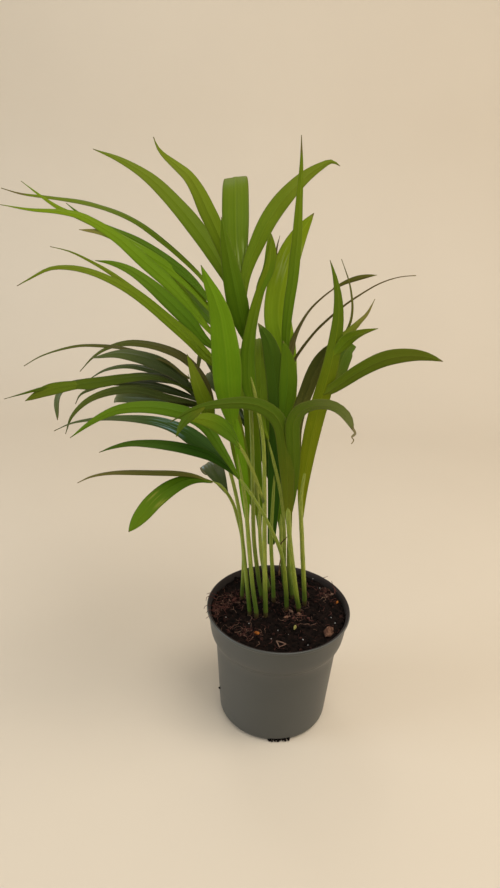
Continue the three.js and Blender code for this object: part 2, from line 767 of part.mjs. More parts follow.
function nurseryPot() {
  const { height, rimRadius, bodyTopHeight, collarFootHeight, footRadius, footRounding, wall, floor } = pot;
  const profile = [new THREE.Vector2(0, 0)];
  for (let i = 0; i <= 3; i++) {
    const angle = (Math.PI / 2) * (i / 3);
    const r = footRadius - footRounding + footRounding * Math.sin(angle);
    profile.push(new THREE.Vector2(r, footRounding - footRounding * Math.cos(angle)));
  }
  const lipFoot = height - pot.lipHeight;
  const outside = [bodyTopHeight, collarFootHeight, lipFoot].map((z) => new THREE.Vector2(potRadius(z), z));
  const inside = [collarFootHeight + wall, bodyTopHeight + wall, footRounding].map(
    (z) => new THREE.Vector2(potRadius(z - wall) - wall, z),
  );
  profile.push(
    ...outside,
    new THREE.Vector2(rimRadius, lipFoot + 0.5),
    new THREE.Vector2(rimRadius, height - 0.6),
    new THREE.Vector2(rimRadius - 0.6, height),
    new THREE.Vector2(rimRadius - 2, height),
    new THREE.Vector2(potRadius(height - 2) - wall, height - 1.2),
    ...inside,
    new THREE.Vector2(footRadius - footRounding, floor),
    new THREE.Vector2(0, floor),
  );
  const shell = new THREE.LatheGeometry(profile, pot.sides);
  shell.rotateX(Math.PI / 2);
  let solid = solidOf(shell);
  for (let i = 0; i < drain.count; i++) {
    const slot = new THREE.BoxGeometry(drain.inward * 2, drain.width, drain.height * 2);
    slot.translate(footRadius, 0, 0);
    slot.rotateZ(THREE.MathUtils.degToRad(drain.firstAngle + (360 * i) / drain.count));
    solid = solid.subtract(solidOf(slot));
  }
  return geometryOf(solid);
}

// Seeded random numbers from 0 to 1.
function seeded(seed) {
  let state = seed;
  return () => {
    state = (state * 16807) % 2147483647;
    return state / 2147483647;
  };
}

// A rough lump of about the given size, with its lower half sunk in the soil.
function lump([length, breadth, height], centre, turn) {
  const geometry = new THREE.OctahedronGeometry(0.5, 0);
  geometry.rotateX(0.5);
  geometry.scale(length * 1.3, breadth * 1.3, height * 1.6);
  geometry.rotateZ(turn);
  geometry.translate(centre.x, centre.y, centre.z);
  return solidOf(geometry);
}

function pottingSoil() {
  const random = seeded(41);
  const ringAt = (radius, heightOf) => {
    const ring = [];
    for (let k = 0; k < soil.sides; k++) {
      const angle = (2 * Math.PI * k) / soil.sides;
      ring.push(new THREE.Vector3(radius * Math.cos(angle), radius * Math.sin(angle), heightOf()));
    }
    return ring;
  };
  const insideAt = (z) => potRadius(z - pot.wall) - pot.wall - soil.gap;
  const underside = pot.floor + soil.gap;
  const shoulder = pot.collarFootHeight + pot.wall + 0.5;
  const rings = [ringAt(pot.footRadius - pot.footRounding - soil.gap, () => underside)];
  for (const z of [pot.footRounding + 1, pot.bodyTopHeight + pot.wall, shoulder]) {
    rings.push(ringAt(insideAt(z), () => z));
  }
  const edge = insideAt(soil.top - soil.relief);
  rings.push(ringAt(edge, () => soil.top - soil.relief));
  for (let i = soil.rings; i > 0; i--) {
    const radius = (edge - 1.5) * (i / soil.rings);
    rings.push(ringAt(radius, () => soil.top + soil.relief * (random() - 0.5)));
  }
  let solid = solidOf(lofted(rings));
  for (const { at, size, turn } of chips) {
    solid = solid.add(lump(size, onSoil(at), THREE.MathUtils.degToRad(turn)));
  }
  for (let i = 0; i < soil.lumps; i++) {
    const angle = 2 * Math.PI * random();
    const radius = (edge - 6) * Math.sqrt(random());
    const size = 2 + 3 * random();
    const centre = new THREE.Vector3(radius * Math.cos(angle), radius * Math.sin(angle), soil.top);
    solid = solid.add(lump([size, size * 0.7, size * 0.6], centre, Math.PI * random()));
  }
  const depth = hole.top - hole.floor + hole.gap;
  for (const { foot, radius } of Object.values(stems)) {
    const r = radius[0] + hole.gap;
    const well = new THREE.CylinderGeometry(r, r, depth, hole.sides);
    well.rotateX(Math.PI / 2);
    well.translate(foot[0], foot[1], hole.top - depth / 2);
    solid = solid.subtract(solidOf(well));
  }
  return geometryOf(solid);
}

// ---- The assembly ----
const palm = new THREE.Group();

function addPiece(name, geometry, color, roughness) {
  const material = new THREE.MeshStandardMaterial({ color, roughness, metalness: 0 });
  const mesh = new THREE.Mesh(geometry, material);
  mesh.name = name;
  palm.add(mesh);
}

addPiece("nursery_pot", nurseryPot(), 0x3f4244, 0.6);
addPiece("potting_soil", pottingSoil(), 0x2a1c14, 0.95);
for (const [name, stem] of Object.entries(stems)) {
  addPiece(name, leafyStem(stem), stem.color, 0.45);
}

export default palm;
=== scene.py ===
"""A young cane palm in a round nursery pot of peat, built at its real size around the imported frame.

The plant is worked out in millimetres and turned into metres where a mesh is made. +Z is up, the
origin is the centre of the pot's underside, and the front looks towards -Y.
"""
import bisect
import math
import random

import bmesh
import bpy
from mathutils import Matrix, Quaternion, Vector, noise


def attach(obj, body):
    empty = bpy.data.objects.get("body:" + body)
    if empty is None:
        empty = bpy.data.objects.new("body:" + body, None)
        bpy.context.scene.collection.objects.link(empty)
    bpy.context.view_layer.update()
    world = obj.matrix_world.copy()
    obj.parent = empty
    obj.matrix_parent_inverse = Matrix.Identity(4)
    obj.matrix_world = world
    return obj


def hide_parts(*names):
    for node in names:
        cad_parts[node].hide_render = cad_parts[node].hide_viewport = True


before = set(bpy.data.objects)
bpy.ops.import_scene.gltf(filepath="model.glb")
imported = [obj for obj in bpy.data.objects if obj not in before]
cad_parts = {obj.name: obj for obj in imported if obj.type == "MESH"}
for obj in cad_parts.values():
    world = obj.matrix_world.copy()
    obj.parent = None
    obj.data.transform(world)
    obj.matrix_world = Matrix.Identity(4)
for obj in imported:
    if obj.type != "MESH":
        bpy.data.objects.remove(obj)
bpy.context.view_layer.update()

MM = 0.001
UP = Vector((0, 0, 1))

# ---- Driving sizes of the pot and its soil, in millimetres ----
POT_HEIGHT = 106
RIM_RADIUS = 60
LIP_HEIGHT = 3
COLLAR_TOP_RADIUS = 58.6
COLLAR_FOOT_RADIUS = 56.2
COLLAR_FOOT_HEIGHT = 82
BODY_TOP_RADIUS = 51.6
BODY_TOP_HEIGHT = 76.5
FOOT_RADIUS = 46
FOOT_ROUNDING = 4
POT_WALL = 1.3
POT_FLOOR = 1.6
POT_SIDES = 144
CORNER_ROUNDING = 1.1
COLLAR_ROUNDING = 11
DRAINS = {"count": 4, "width": 17, "height": 3.6, "inward": 9, "first_angle": -82}
SOIL_TOP = 101.5
SOIL_GAP = 0.3
SOIL_SINK = 0.3  # how far the mean of its surface lies under its top
SOIL_LUMPS = 1.1  # heights of its broad lumps, its clods and its grit
SOIL_CLODS = 1.2
SOIL_GRIT = 0.35
RIM_FALL = 0.8  # how far its surface falls at the pot's wall
SOIL_REACH = 54  # from the pot's axis to the outermost fibres and grains
WELL_FLOOR = 84  # how deep the stems stand

# ---- Driving sizes of the leaves and stalks, in millimetres ----
RIB_THICKNESS = 0.75
EDGE_THICKNESS = 0.3
TIP_WIDTH = 0.35
EDGE_WAVE = 0.03  # wave of a blade's edges, as a share of half its width
ROOT_FOLD = 0.5  # how much further its edges fall at its root, as the same share
SIDE_FOLDS = 0.3  # height of the soft folds beside its rib, as a share of that fall
MOUTHS = 3  # mouths of sheaths on a stalk
MOUTH_SWELL = 0.06  # as shares of the stalk's radius
GROOVE_DEPTH = 0.035
BLADE_STEPS = 36
BLADE_COLUMNS = 13
STALK_SIDES = 16
STALK_STEPS = 64

# ---- The viewpoint from which the stems and leaves are placed ----
# A place is (across, down, back): where it shows in a 500 x 888 picture taken from the eye, and how
# far behind the pot's axis it lies, in millimetres.
PICTURE_WIDTH = 500
PICTURE_HEIGHT = 888
FOCAL = 700
EYE = Vector((-30, -483, 468))
LOOK_DOWN = math.radians(24)
TILT = math.radians(2.6)
FORWARD = Vector((0, math.cos(LOOK_DOWN), -math.sin(LOOK_DOWN)))
LEVEL = Vector((1, 0, 0))
UPRIGHT = LEVEL.cross(FORWARD)
PICTURE_RIGHT = LEVEL * math.cos(TILT) + UPRIGHT * math.sin(TILT)
PICTURE_UP = UPRIGHT * math.cos(TILT) - LEVEL * math.sin(TILT)

# ---- The stems and their leaves ----
FIRST_SEED = 100  # of the first stem's random draws
STEMS = {}
# What a blade has where nothing else is given.
COMMON_BLADE = {"peak": 0.4, "tail": 0.6, "root": 2.2, "ridge": 0.11, "dry": 0.985, "fork_of": None}


def stem(name, slot, foot, radius, stalk):
    """A stem: where it stands (x, y), its radius at foot and top, and its course from the soil up."""
    STEMS[name] = {"slot": slot, "foot": foot, "radius": radius, "stalk": stalk, "blades": {}}


def blade(name, look, width, turn, rib, **own):
    """A blade of the stem given last: its finish, its widest, and its rib from root to tip.

    turn: of its face about the rib, in degrees from facing the eye, at even steps from root to tip.
    Its own, where it has them: peak: where along it is widest. tail: 0 for a straight taper, below 0
    for a long thin tip, over 1 for a full one. root: its width where it leaves the stalk. ridge: how
    far its edges fall from its rib, as a share of half its width. dry: where along it the dry tip
    starts. fork_of: the blade that it forks from, where that isn't the stalk.
    """
    newest = [*STEMS.values()][-1]
    newest["blades"][name] = {**COMMON_BLADE, **own, "look": look, "width": width, "turn": turn, "rib": rib}


stem("low_left", "leaf_olive", (-31, 12), (1.6, 1.2), [
    (243.5, 560, 11), (242, 537, 10), (238, 520, 8), (234, 506, 5), (229, 496, 2), (221, 486, -3),
    (212, 481, -7),
])
blade("level_leaflet", "khaki", 7, (62, 55), [
    (213, 481, -7), (190, 474.5, -14), (150, 472.5, -20), (110, 473, -24), (90, 477, -27), (77.5, 483, -30),
])
blade("drooping_leaflet", "scuffed", 12.8, (45, 15), [
    (213, 481, -7), (193, 479, -16), (175, 485, -24), (155, 500, -36), (141, 516, -44), (128.5, 532, -50),
], peak=0.6, tail=2.2)
blade("backward_leaflet", "glazed", 17, (10, 0), [
    (226, 494, 0), (222, 483, 8), (216, 472, 20), (211, 464, 36), (208, 463, 54), (208, 475, 80),
], tail=2.2)

stem("dark_fronds", "leaf_dark", (-24, -9.3), (1.7, 1.1), [
    (247, 585, -9), (243, 545, -4), (239, 510, 0), (228, 465, 0), (213, 430, -2), (200, 404, -4),
    (192, 384, -4), (188, 374, -4),
])
blade("highest_arch", "bronze", 4.5, (58, 40), [
    (190, 378, -4), (165, 361, 4), (140, 352.5, 8), (120, 347.5, 11), (100, 345.5, 14), (80, 345.5, 16),
    (60, 349.5, 18), (40, 356.5, 20), (24, 366, 22),
])
blade("second_arch", "bronze", 7.2, (10, 30, 20), [
    (213, 428, -2), (212, 404, -1), (206, 384, 2), (196, 369, 6), (182, 356.5, 11), (163, 348, 17),
    (143, 343.5, 24), (125, 343, 29), (108, 347.5, 33), (93, 357, 35), (80, 371.5, 36),
], peak=0.5)
blade("sheen_leaflet", "sheen", 13, (30, 40), [
    (195, 392, -4), (174, 372, 0), (150, 359.5, 2), (120, 353.5, 4), (92, 358, 4),
], peak=0.45)
blade("third_arch", "sheen", 6, (50, 30), [
    (190, 384, -4), (165, 374, 14), (130, 366, 24), (105, 370, 30), (88, 380, 32),
])
blade("long_leaflet", "turning", 8.5, (70, 30, 20), [
    (192, 391, -4), (178, 384, -8), (155, 377, -14), (130, 377.5, -18), (100, 382, -22), (75, 385, -26),
    (55, 386, -28), (38, 389.5, -31), (20, 394.5, -33), (4, 399, -36),
], peak=0.6, tail=-0.55)
blade("long_leaflet_fork", "olive", 8.5, (20, 15), [
    (82, 384, -25), (64, 386.5, -28), (45, 391, -31), (25, 401, -33),
], peak=0.5, root=5, fork_of="long_leaflet")
blade("fourth_arch", "sheen", 6.5, (50, 30), [
    (194, 398, -4), (180, 384, 2), (160, 377, 0), (135, 376, -3), (112, 380.5, -8), (92, 388.5, -13),
    (80, 395, -16), (75.5, 404, -18),
])
blade("hooked_leaflet", "sheen", 6.2, (60, 50, 10), [
    (192, 386, -4), (150, 380, 10), (100, 380, 14), (70, 384.5, 14), (60, 391, 14), (56.2, 402, 14),
    (57.5, 420, 14),
], peak=0.88, tail=1)
blade("short_leaflet", "sheen", 7, (35, 35), [
    (197, 400, -4), (175, 391.5, -2), (145, 384, -2), (105, 384.5, -4),
])
blade("lowest_arch", "dark", 6.5, (30, 15), [
    (197, 404, -4), (170, 398, -16), (130, 389, -24), (92, 398, -32), (72, 416, -36), (65.5, 434, -38),
])
blade("blunt_leaflet", "sheen", 9.5, (30, 10), [
    (198, 408, -4), (170, 401, 8), (140, 397.5, 20), (118, 397, 38), (114, 402, 64),
], peak=0.5, tail=2)
blade("inner_leaflet", "dark", 4.5, (40, 40), [
    (194, 407, -4), (180, 403, -8), (165, 398, -10), (150, 393, -12), (130, 388.5, -14), (118, 388, -15),
])
blade("upright_leaflet", "fresh", 11.5, (0, 0), [
    (212, 428, -3), (207, 408, -12), (200, 390, -17), (194, 373, -18), (187, 354, -18),
], peak=0.4)

stem("bright_frond", "leaf_bright", (-18.3, -11.5), (1.8, 1.2), [
    (252.5, 585, -11), (249, 545, -9), (245, 500, -8), (237, 450, -8), (229, 410, -8), (223, 370, -6),
    (217, 330, -4), (213, 300, -2), (211, 288, 0),
])
blade("topmost_leaflet", "fresh", 6.5, (20, 45, 30), [
    (211, 292, -1), (203, 279, 8), (180, 256, 22), (160, 239, 32), (140, 224, 40), (120, 213.5, 46),
    (100, 206.5, 52), (80, 201.5, 56), (43, 196.5, 62), (20, 193.5, 66), (1, 188, 68),
], peak=0.62, tail=0.3, dry=0.9)
blade("second_leaflet", "vivid", 8, (25, 25), [
    (212, 305, -2), (190, 278, 8), (170, 262, 15), (150, 248.5, 22), (130, 237.5, 27), (110, 229, 31),
    (90, 220, 36), (78, 212.5, 38), (66, 203, 40),
])
blade("third_leaflet", "glinting", 9, (20, 20), [
    (213, 315, -3), (190, 286, 6), (170, 269, 11), (150, 256, 16), (120, 238, 22), (100, 226, 25),
    (80, 217, 27), (60, 208.5, 29), (43, 197.5, 30), (21, 181, 32),
], tail=0)
blade("fourth_leaflet", "bright", 10, (15, 30), [
    (215, 340, -5), (205, 325, -2), (190, 306, 2), (170, 284, 5), (150, 266, 7), (135, 252.5, 9),
    (120, 239.5, 11), (100, 226, 14), (80, 215.5, 16), (60, 211.5, 18), (30, 209.5, 21), (0, 204.5, 24),
], tail=0)
blade("split_tip", "fading", 4.5, (20, 20), [
    (126, 244, 10.5), (104, 233, 12), (79, 229.5, 13),
], fork_of="fourth_leaflet")
blade("fifth_leaflet", "vivid", 11, (15, 30), [
    (216, 352, -6), (205, 340, -7), (190, 322, -9), (170, 302, -11), (150, 284, -13), (130, 270, -15),
    (112, 263, -17), (95, 260.5, -18),
])
blade("sixth_leaflet", "fresh", 9, (20, 30), [
    (218, 366, -6), (208, 355, -9), (190, 338, -14), (170, 320, -18), (150, 302.5, -22), (130, 287, -26),
    (110, 272.5, -29), (90, 261, -32), (70, 251.5, -35), (50, 246.5, -38),
], peak=0.25, tail=-0.3)
blade("lowest_leaflet", "fresh", 6.5, (15, 40), [
    (219, 372, -6), (205, 358, -13), (190, 342, -20), (170, 323, -25), (150, 305.5, -30), (130, 290.5, -36),
    (110, 279.5, -41), (90, 271.5, -45), (70, 267.5, -49), (50, 268.5, -52), (30, 278.5, -56),
    (17, 286, -58),
])
blade("shaded_leaflet", "shade", 12, (20, 20), [
    (213, 328, -4), (200, 308, 20), (185, 290, 38), (169, 271, 50),
], peak=0.5)
blade("broad_blade", "lush", 20.5, (0, 10), [
    (233, 434, -9), (229, 395, -18), (226.5, 360, -23), (224, 338, -25), (220.5, 316, -27),
    (214.5, 297, -30), (207.5, 281, -32), (201, 265, -34),
], tail=0.8)
blade("leaf_base", "lush", 8, (0, 0), [
    (248, 525, -8), (245, 495, -8), (242, 465, -9), (238, 435, -10), (234, 410, -11),
], tail=3)

stem("top_fan", "leaf_bright", (-14.3, 13.3), (1.8, 1.3), [
    (258.5, 578, 13), (254, 540, 13), (253, 500, 12), (252, 440, 10), (249, 380, 8), (246, 340, 6),
    (243, 310, 4),
])
blade("left_arch", "fresh", 12.8, (10, 30), [
    (243, 312, 4), (232, 286, 8), (216, 257, 14), (200, 233, 20), (180, 208, 26), (150, 178, 32),
    (120, 159.5, 38), (93, 149, 42),
], peak=0.42)
blade("waved_tip", "fresh", 11.5, (5, 15, 60), [
    (242, 305, 4), (229, 262, 3), (215.5, 228, 1), (207.5, 211, 0), (198, 190.5, -1), (188, 175.5, -3),
    (176, 165, -4), (164, 155, -6), (157.5, 147, -7), (153.5, 137, -8),
], peak=0.55)
blade("folded_back", "folded", 19.3, (0, 0, -14), [
    (241, 305, 5), (237, 255, 18), (235.5, 215, 36), (235.5, 184, 56), (235.5, 178, 84), (237, 200, 118),
], peak=0.45, tail=1.4, ridge=0.03)
blade("right_arch", "fresh", 12.4, (5, 25), [
    (244, 312, 4), (245, 280, 10), (249.5, 262, 14), (257, 244, 18), (266.5, 224, 22.5), (275.5, 209.5, 27),
    (287, 195, 31), (304, 178, 38), (318, 168, 42), (332, 161.5, 46), (340, 166, 48),
], peak=0.55)
blade("shaded_blade", "vivid", 15, (0, 20), [
    (246, 345, 5), (241, 318, 0), (236, 295, -5), (230, 265, -12), (225, 240, -20), (221.5, 217, -26),
], peak=0.35)

stem("front_arch", "leaf_olive", (-10.8, -9.7), (2, 1.3), [
    (265, 585, -10), (264.5, 540, -10), (264.5, 490, -10), (263, 440, -9), (256, 400, -5), (249, 370, -4),
])
blade("upright_leaf", "shade", 12.2, (0, 30, 10), [
    (258, 420, -7), (250.5, 392, -6), (248, 368, -5), (249, 344, -5), (253.5, 317, -5), (260, 292, -5),
    (267, 268, -5), (270, 250, -5), (271, 235, -5),
], peak=0.3, tail=0.4)
blade("upright_tip", "shade", 8, (10, 0), [
    (257, 300, -5.5), (262, 285, -5), (268, 271, -4), (270.6, 258, -4), (270.5, 232, -4),
], peak=0.55, tail=1.5, root=5, fork_of="upright_leaf")
blade("forward_stalk", "stalk", 2.4, (0, 0), [
    (264, 505, -9), (257, 482, -22), (250, 465, -30), (242, 450, -36), (232, 436, -40),
], tail=5)
blade("forward_arch", "shade", 13, (50, 30), [
    (241, 448, -37), (230, 433, -41), (217, 423, -44), (203, 419, -47), (186, 419, -50),
], peak=0.5, fork_of="forward_stalk")

stem("dark_blade", "leaf_dark", (-3.9, 11.2), (1.7, 1.3), [
    (273, 580, 11), (271, 540, 9), (273, 500, 6), (276, 460, 2), (281, 425, -3),
])
blade("dark_blade", "deep", 13.5, (0, 10), [
    (273, 545, 9), (273.5, 505, 6), (275, 470, 2), (278, 430, -4), (277, 395, -9), (273.5, 362, -13),
    (268, 340, -15), (258, 323, -16),
], peak=0.75, tail=2.2, root=6)
blade("light_half", "vivid", 13, (0, 0), [
    (278, 435, -4), (284, 410, -8), (288, 385, -12), (287.5, 360, -14), (283, 341, -16),
], peak=0.5, tail=1.6, fork_of="dark_blade")

stem("left_reach", "leaf_dark", (6.9, -0.4), (1.9, 1.1), [
    (286, 590, -1), (282, 556, -6), (270, 527, -16), (258, 505, -20), (246, 487, -22), (236, 474, -22),
])
blade("upper_leaflet", "vivid", 10, (30, 25), [
    (240, 479, -22), (222, 450, -28), (205, 425, -33), (190, 415, -36), (170, 409.5, -39), (150, 407, -42),
    (130, 407.5, -45), (115, 410.5, -47), (100, 417, -50), (88, 424.5, -53), (70, 438, -56),
], peak=0.45)
blade("sheen_leaflet", "silvery", 13, (20, 55), [
    (238, 477, -22), (222, 458, -22), (205, 445, -23), (190, 435, -24), (175, 427, -26), (160, 422, -28),
    (145, 419.5, -30), (125, 418, -32), (100, 418.5, -36), (72, 423, -40), (54, 431, -42),
], peak=0.35, tail=-0.4)
blade("lower_leaflet", "deep", 8.5, (30, 45), [
    (236, 475, -22), (225, 466, -24), (210, 456, -27), (190, 449.5, -31), (170, 445.5, -35),
    (150, 443.5, -38), (130, 443.5, -41), (112, 447.5, -44), (99, 452.5, -46),
])
blade("side_stalk", "stalk", 2.6, (0, 0), [
    (284, 575, -4), (284, 525, -6), (280, 490, -10), (272, 455, -11), (267, 436, -7),
], tail=5)
blade("folded_back", "fresh", 12, (0, 0), [
    (267, 440, -8), (262, 424, -5), (260.5, 404, 3), (261, 380, 13), (261, 354, 24), (259, 339, 42),
    (262, 346, 68),
], peak=0.45, tail=1.2, fork_of="side_stalk")

stem("forked", "leaf_olive", (17, -1), (1.9, 1.8), [
    (296.5, 595, -4), (292, 560, -12), (289, 530, -20), (288, 505, -26),
])
blade("left_arch", "dim", 11.5, (0, 0, 30, 35, 35), [
    (289, 525, -21), (288, 490, -30), (286.5, 462, -37), (284, 438, -42), (279, 421, -45), (268, 410, -48),
    (250, 403.5, -52), (220, 404, -57), (195, 409, -60), (170, 422, -62),
], peak=0.45, root=4)
blade("left_fork", "dim", 6.5, (15, 15), [
    (205, 408, -59), (190, 416, -62), (181, 426, -64), (176, 437, -66),
], fork_of="left_arch")
blade("right_arch", "arched", 11, (0, 0, 20, 20, 0), [
    (290, 518, -22), (293, 485, -30), (294, 460, -36), (293, 438, -42), (293.5, 423, -45),
    (300, 411.5, -47), (314, 405.5, -50), (331, 406, -54), (343, 413, -57), (350, 423, -58),
    (353, 431, -59),
], peak=0.75, tail=2.6, root=4)
blade("withered_tip", "dry", 1.7, (20, 70), [
    (352, 427, -58.6), (355, 433.5, -60), (351.8, 437, -60), (353.6, 440, -60), (351.5, 444, -60),
], fork_of="right_arch")

stem("spear", "leaf_bright", (12, 16), (1.8, 1.6), [
    (289, 570, 16), (290, 520, 15), (291, 470, 14), (290, 430, 12), (288, 390, 10), (286, 350, 8),
])
blade("spear", "shade", 8, (15, 15), [
    (288, 400, 9), (286, 370, 6), (286, 335, 3), (289.5, 302, 2), (293, 280, 2), (295, 260, 2),
    (297, 240, 2), (299.5, 200, 2), (301.5, 165, 2), (301.5, 135, 2),
], peak=0.55, tail=0.3, dry=0.94)
blade("broad_blade", "sunlit", 20.5, (0, 20), [
    (290, 440, 12), (289, 395, 14), (284, 350, 18), (278, 318, 22), (281, 288, 26), (289, 258, 29),
    (300, 234, 32), (314, 213, 34),
], peak=0.6, tail=1.7)
blade("torn_lobe", "brown", 2, (10, 10), [
    (285, 285, 26), (278.5, 266, 31), (276.3, 254, 32.5), (277.4, 245.5, 33), (280, 235.5, 33.5),
], fork_of="broad_blade")
blade("upper_brown_leaflet", "brown", 6.5, (10, 60, 60), [
    (288, 385, 10), (290, 355, 14), (294.5, 338, 17), (301, 324, 20), (310, 310, 25), (322, 298, 29),
    (336, 287.5, 32), (350, 281, 36), (364, 277, 38), (376, 275, 40),
], peak=0.25, tail=-0.6)
blade("upper_brown_tip", "tan", 4.2, (40, 30), [
    (333, 289, 31.5), (344, 283.2, 34.2), (356, 278.8, 36.8), (367, 276.3, 38.5), (377, 275, 40),
], peak=0.55, root=1.5, fork_of="upper_brown_leaflet")
blade("lower_brown_leaflet", "brown", 3, (40, 50), [
    (289, 395, 10), (294, 362, 6), (300, 351.5, 4), (311, 337, 3), (320, 327, 3), (344, 306, 6),
    (360, 295, 9), (380, 283.5, 12), (400, 277, 14), (416, 275.5, 16),
], peak=0.3)

stem("right_frond", "leaf_olive", (22.6, 9), (1.9, 1.5), [
    (304, 585, 7), (302, 540, -2), (301, 500, -9), (306, 465, -14),
])
blade("main_blade", "sheath", 12.5, (0, 10), [
    (302, 520, -7), (302.5, 492, -11), (306.5, 462, -15), (312.5, 432, -18), (321, 400, -21),
    (327, 380, -22), (332, 360, -22), (336, 338, -20), (338.5, 315, -18), (338, 295, -16),
    (334.5, 275, -14), (330, 260, -12),
], peak=0.48, tail=0.9, root=3.5)
blade("hair_leaflet", "tan", 2, (30, 30), [
    (336, 352, -19), (344, 336, -14), (350.5, 322, -10), (352.5, 309, -7), (351.5, 294, -4), (349, 281, -1),
    (341.5, 259, 2),
], peak=0.3, fork_of="main_blade")
blade("upper_leaflet", "fading", 8, (15, 30), [
    (336, 352, -19), (349, 333, -14), (359, 322.5, -11), (367, 314, -9), (375, 299, -8),
], peak=0.3, tail=-0.35, fork_of="main_blade")
blade("level_leaflet", "fresh", 9.5, (20, 45), [
    (335, 356, -19), (349, 339, -22), (361, 333, -26), (378, 328.5, -30),
], peak=0.35, fork_of="main_blade")
blade("shaded_leaflet", "dim", 14.5, (0, 20), [
    (330, 388, -20), (337, 370, -12), (343, 356, -6), (349, 348, -1), (356, 347, 4),
], peak=0.5, tail=1.8, root=6, fork_of="main_blade")
blade("long_leaflet", "olive", 11.2, (25, 20), [
    (326, 396, -21), (340, 384, -24), (360, 371, -28), (380, 361, -31), (395, 357, -34), (415, 355.5, -37),
    (430, 357.5, -39), (443, 361.5, -41),
], peak=0.6, tail=0.9, root=7, dry=0.97, fork_of="main_blade")
blade("dark_leaflet", "brown_green", 11, (0, 20), [
    (301, 500, -9), (297, 460, -5), (296, 430, -2), (300, 409, 1), (306.5, 392, 3), (313, 375, 4),
    (322, 358, 4), (334, 346, 3), (346, 343, 2),
], peak=0.72, tail=1.6, root=2.5)

stem("back_left", "leaf_dark", (-8, 26), (1.7, 1.2), [
    (262, 560, 28), (258, 500, 34), (250, 440, 44), (242, 400, 54),
])
blade("left_arch", "sheen", 11, (0, 0), [
    (246, 420, 49), (232, 401, 62), (216, 384, 80), (208, 374, 102), (207, 378, 124), (207, 395, 146),
], tail=1.2)
blade("middle_arch", "fresh", 10, (0, 0), [
    (244, 410, 52), (243, 376, 74), (243, 352, 100), (243, 350, 126), (243, 375, 152),
])
blade("far_left_arch", "dark", 8, (10, 10), [
    (248, 430, 47), (228, 394, 66), (212, 364, 86), (203, 352, 106), (199, 360, 126), (197, 384, 142),
])
blade("leaf_base", "shade", 12, (0, 0), [
    (261, 535, 30), (258, 500, 34), (253.5, 450, 40), (250, 405, 46), (248, 372, 51),
], peak=0.6, tail=1.6)
blade("low_base", "fresh", 13, (0, 0), [
    (260, 520, 31), (250, 492, 32), (241.5, 460, 34), (235, 425, 37), (230, 392, 41),
], peak=0.6, tail=1.6)

stem("back_right", "leaf_olive", (6, 28), (1.7, 1.2), [
    (282, 560, 32), (280, 500, 40), (277, 440, 50), (275, 400, 60),
])
blade("right_arch", "fresh", 12, (0, 0), [
    (276, 415, 56), (276, 372, 76), (278, 350, 104), (280, 352, 134), (281, 375, 160),
])
blade("middle_arch", "fresh", 11, (0, 0), [
    (275, 405, 58), (268, 362, 72), (270, 334, 92), (274, 328, 118), (277, 345, 146),
])
blade("low_arch", "dark", 10, (-15, -15), [
    (278, 430, 52), (285, 400, 64), (289, 388, 88), (290, 394, 112), (289, 420, 134),
])
blade("leaf_base", "vivid", 13, (0, 0), [
    (281, 535, 34), (279, 500, 38), (275, 450, 44), (270, 405, 50), (266, 375, 54),
], peak=0.6, tail=1.6)
blade("inner_base", "deep", 12, (0, 0), [
    (280, 500, 40), (270, 472, 50), (265, 445, 57), (262, 415, 63), (261, 385, 68),
], peak=0.6, tail=1.6)

# ---- What lies in and on the soil, placed by where it shows in the picture ----
# Chips: (across, down), (length, breadth, height), turn about the upright, tilt, finish.
BARK_CHIPS = [
    ((329, 633), (14, 10, 2.2), 60, 38, "bark"),
    ((257, 634), (6.5, 3.2, 1.6), -20, 12, "bark_orange"),
    ((291, 612), (5.5, 3.5, 2), -40, 30, "fibre_pale"),
    ((234, 601), (7, 3, 1.8), 60, 15, "fibre"),
    ((286, 618), (5, 3, 2), 20, 30, "bark"),
    ((299, 615), (5, 3.4, 2), 100, 40, "bark"),
    ((293, 619), (4.4, 2.6, 1.8), 70, 25, "fibre"),
    ((308, 619), (3.5, 2.2, 1.4), 10, 15, "fibre"),
    ((337, 603), (4.8, 2.5, 1.6), 80, 20, "bark_orange"),
    ((332, 595), (3.5, 2.5, 1.6), 30, 30, "fibre_pale"),
]
# Splinters and strands: places are (across, down, height in millimetres).
SPLINTERS = [
    [(276.5, 641, 103), (281, 642, 103.6), (286, 644, 103)],
    [(286, 644, 103), (282, 645.8, 103.4), (279, 647, 103)],
    [(276.5, 641, 103), (278, 644, 103.3), (279.5, 647.5, 103)],
]
LOOSE_STRANDS = [
    [(216, 599, 102.5), (211, 596.5, 105.5), (207, 597, 107.5), (206, 601, 106.5)],
    [(214, 606, 102.5), (208, 605, 106.5), (204.5, 607, 107), (204, 609, 106)],
    [(215, 611, 102.5), (209, 610, 106.6), (206, 613, 106.2)],
    [(218, 596, 102.5), (211, 593, 106), (206.5, 594, 108)],
    [(213, 615, 102.5), (209, 616, 106.4), (206, 618.5, 105)],
    [(335, 594, 103), (334, 588, 105.5), (332.5, 584, 108), (331.5, 581, 110)],
    [(336, 592, 104), (334.5, 588.5, 106), (332.5, 586.5, 107)],
    [(319, 580, 103), (324, 577.5, 105.5), (328, 576.5, 107.5)],
]
FIBRE_NESTS = [(232, 600), (216, 606), (210, 612), (240, 596), (328, 592), (296, 616), (244, 632)]
HUSK = {"at": (295, 628), "size": (6.5, 2.4, 2.2), "turn": 78}
STUCK_CRUMB = {"angle": 194, "height": 24, "size": 2.4}  # caught on the outside of the pot
PERLITE = [
    (249, 624), (313, 579), (331, 618), (335, 623), (308, 645), (303, 640), (265, 647), (271, 640),
    (278, 630), (226, 617), (320, 588), (291, 616),
]
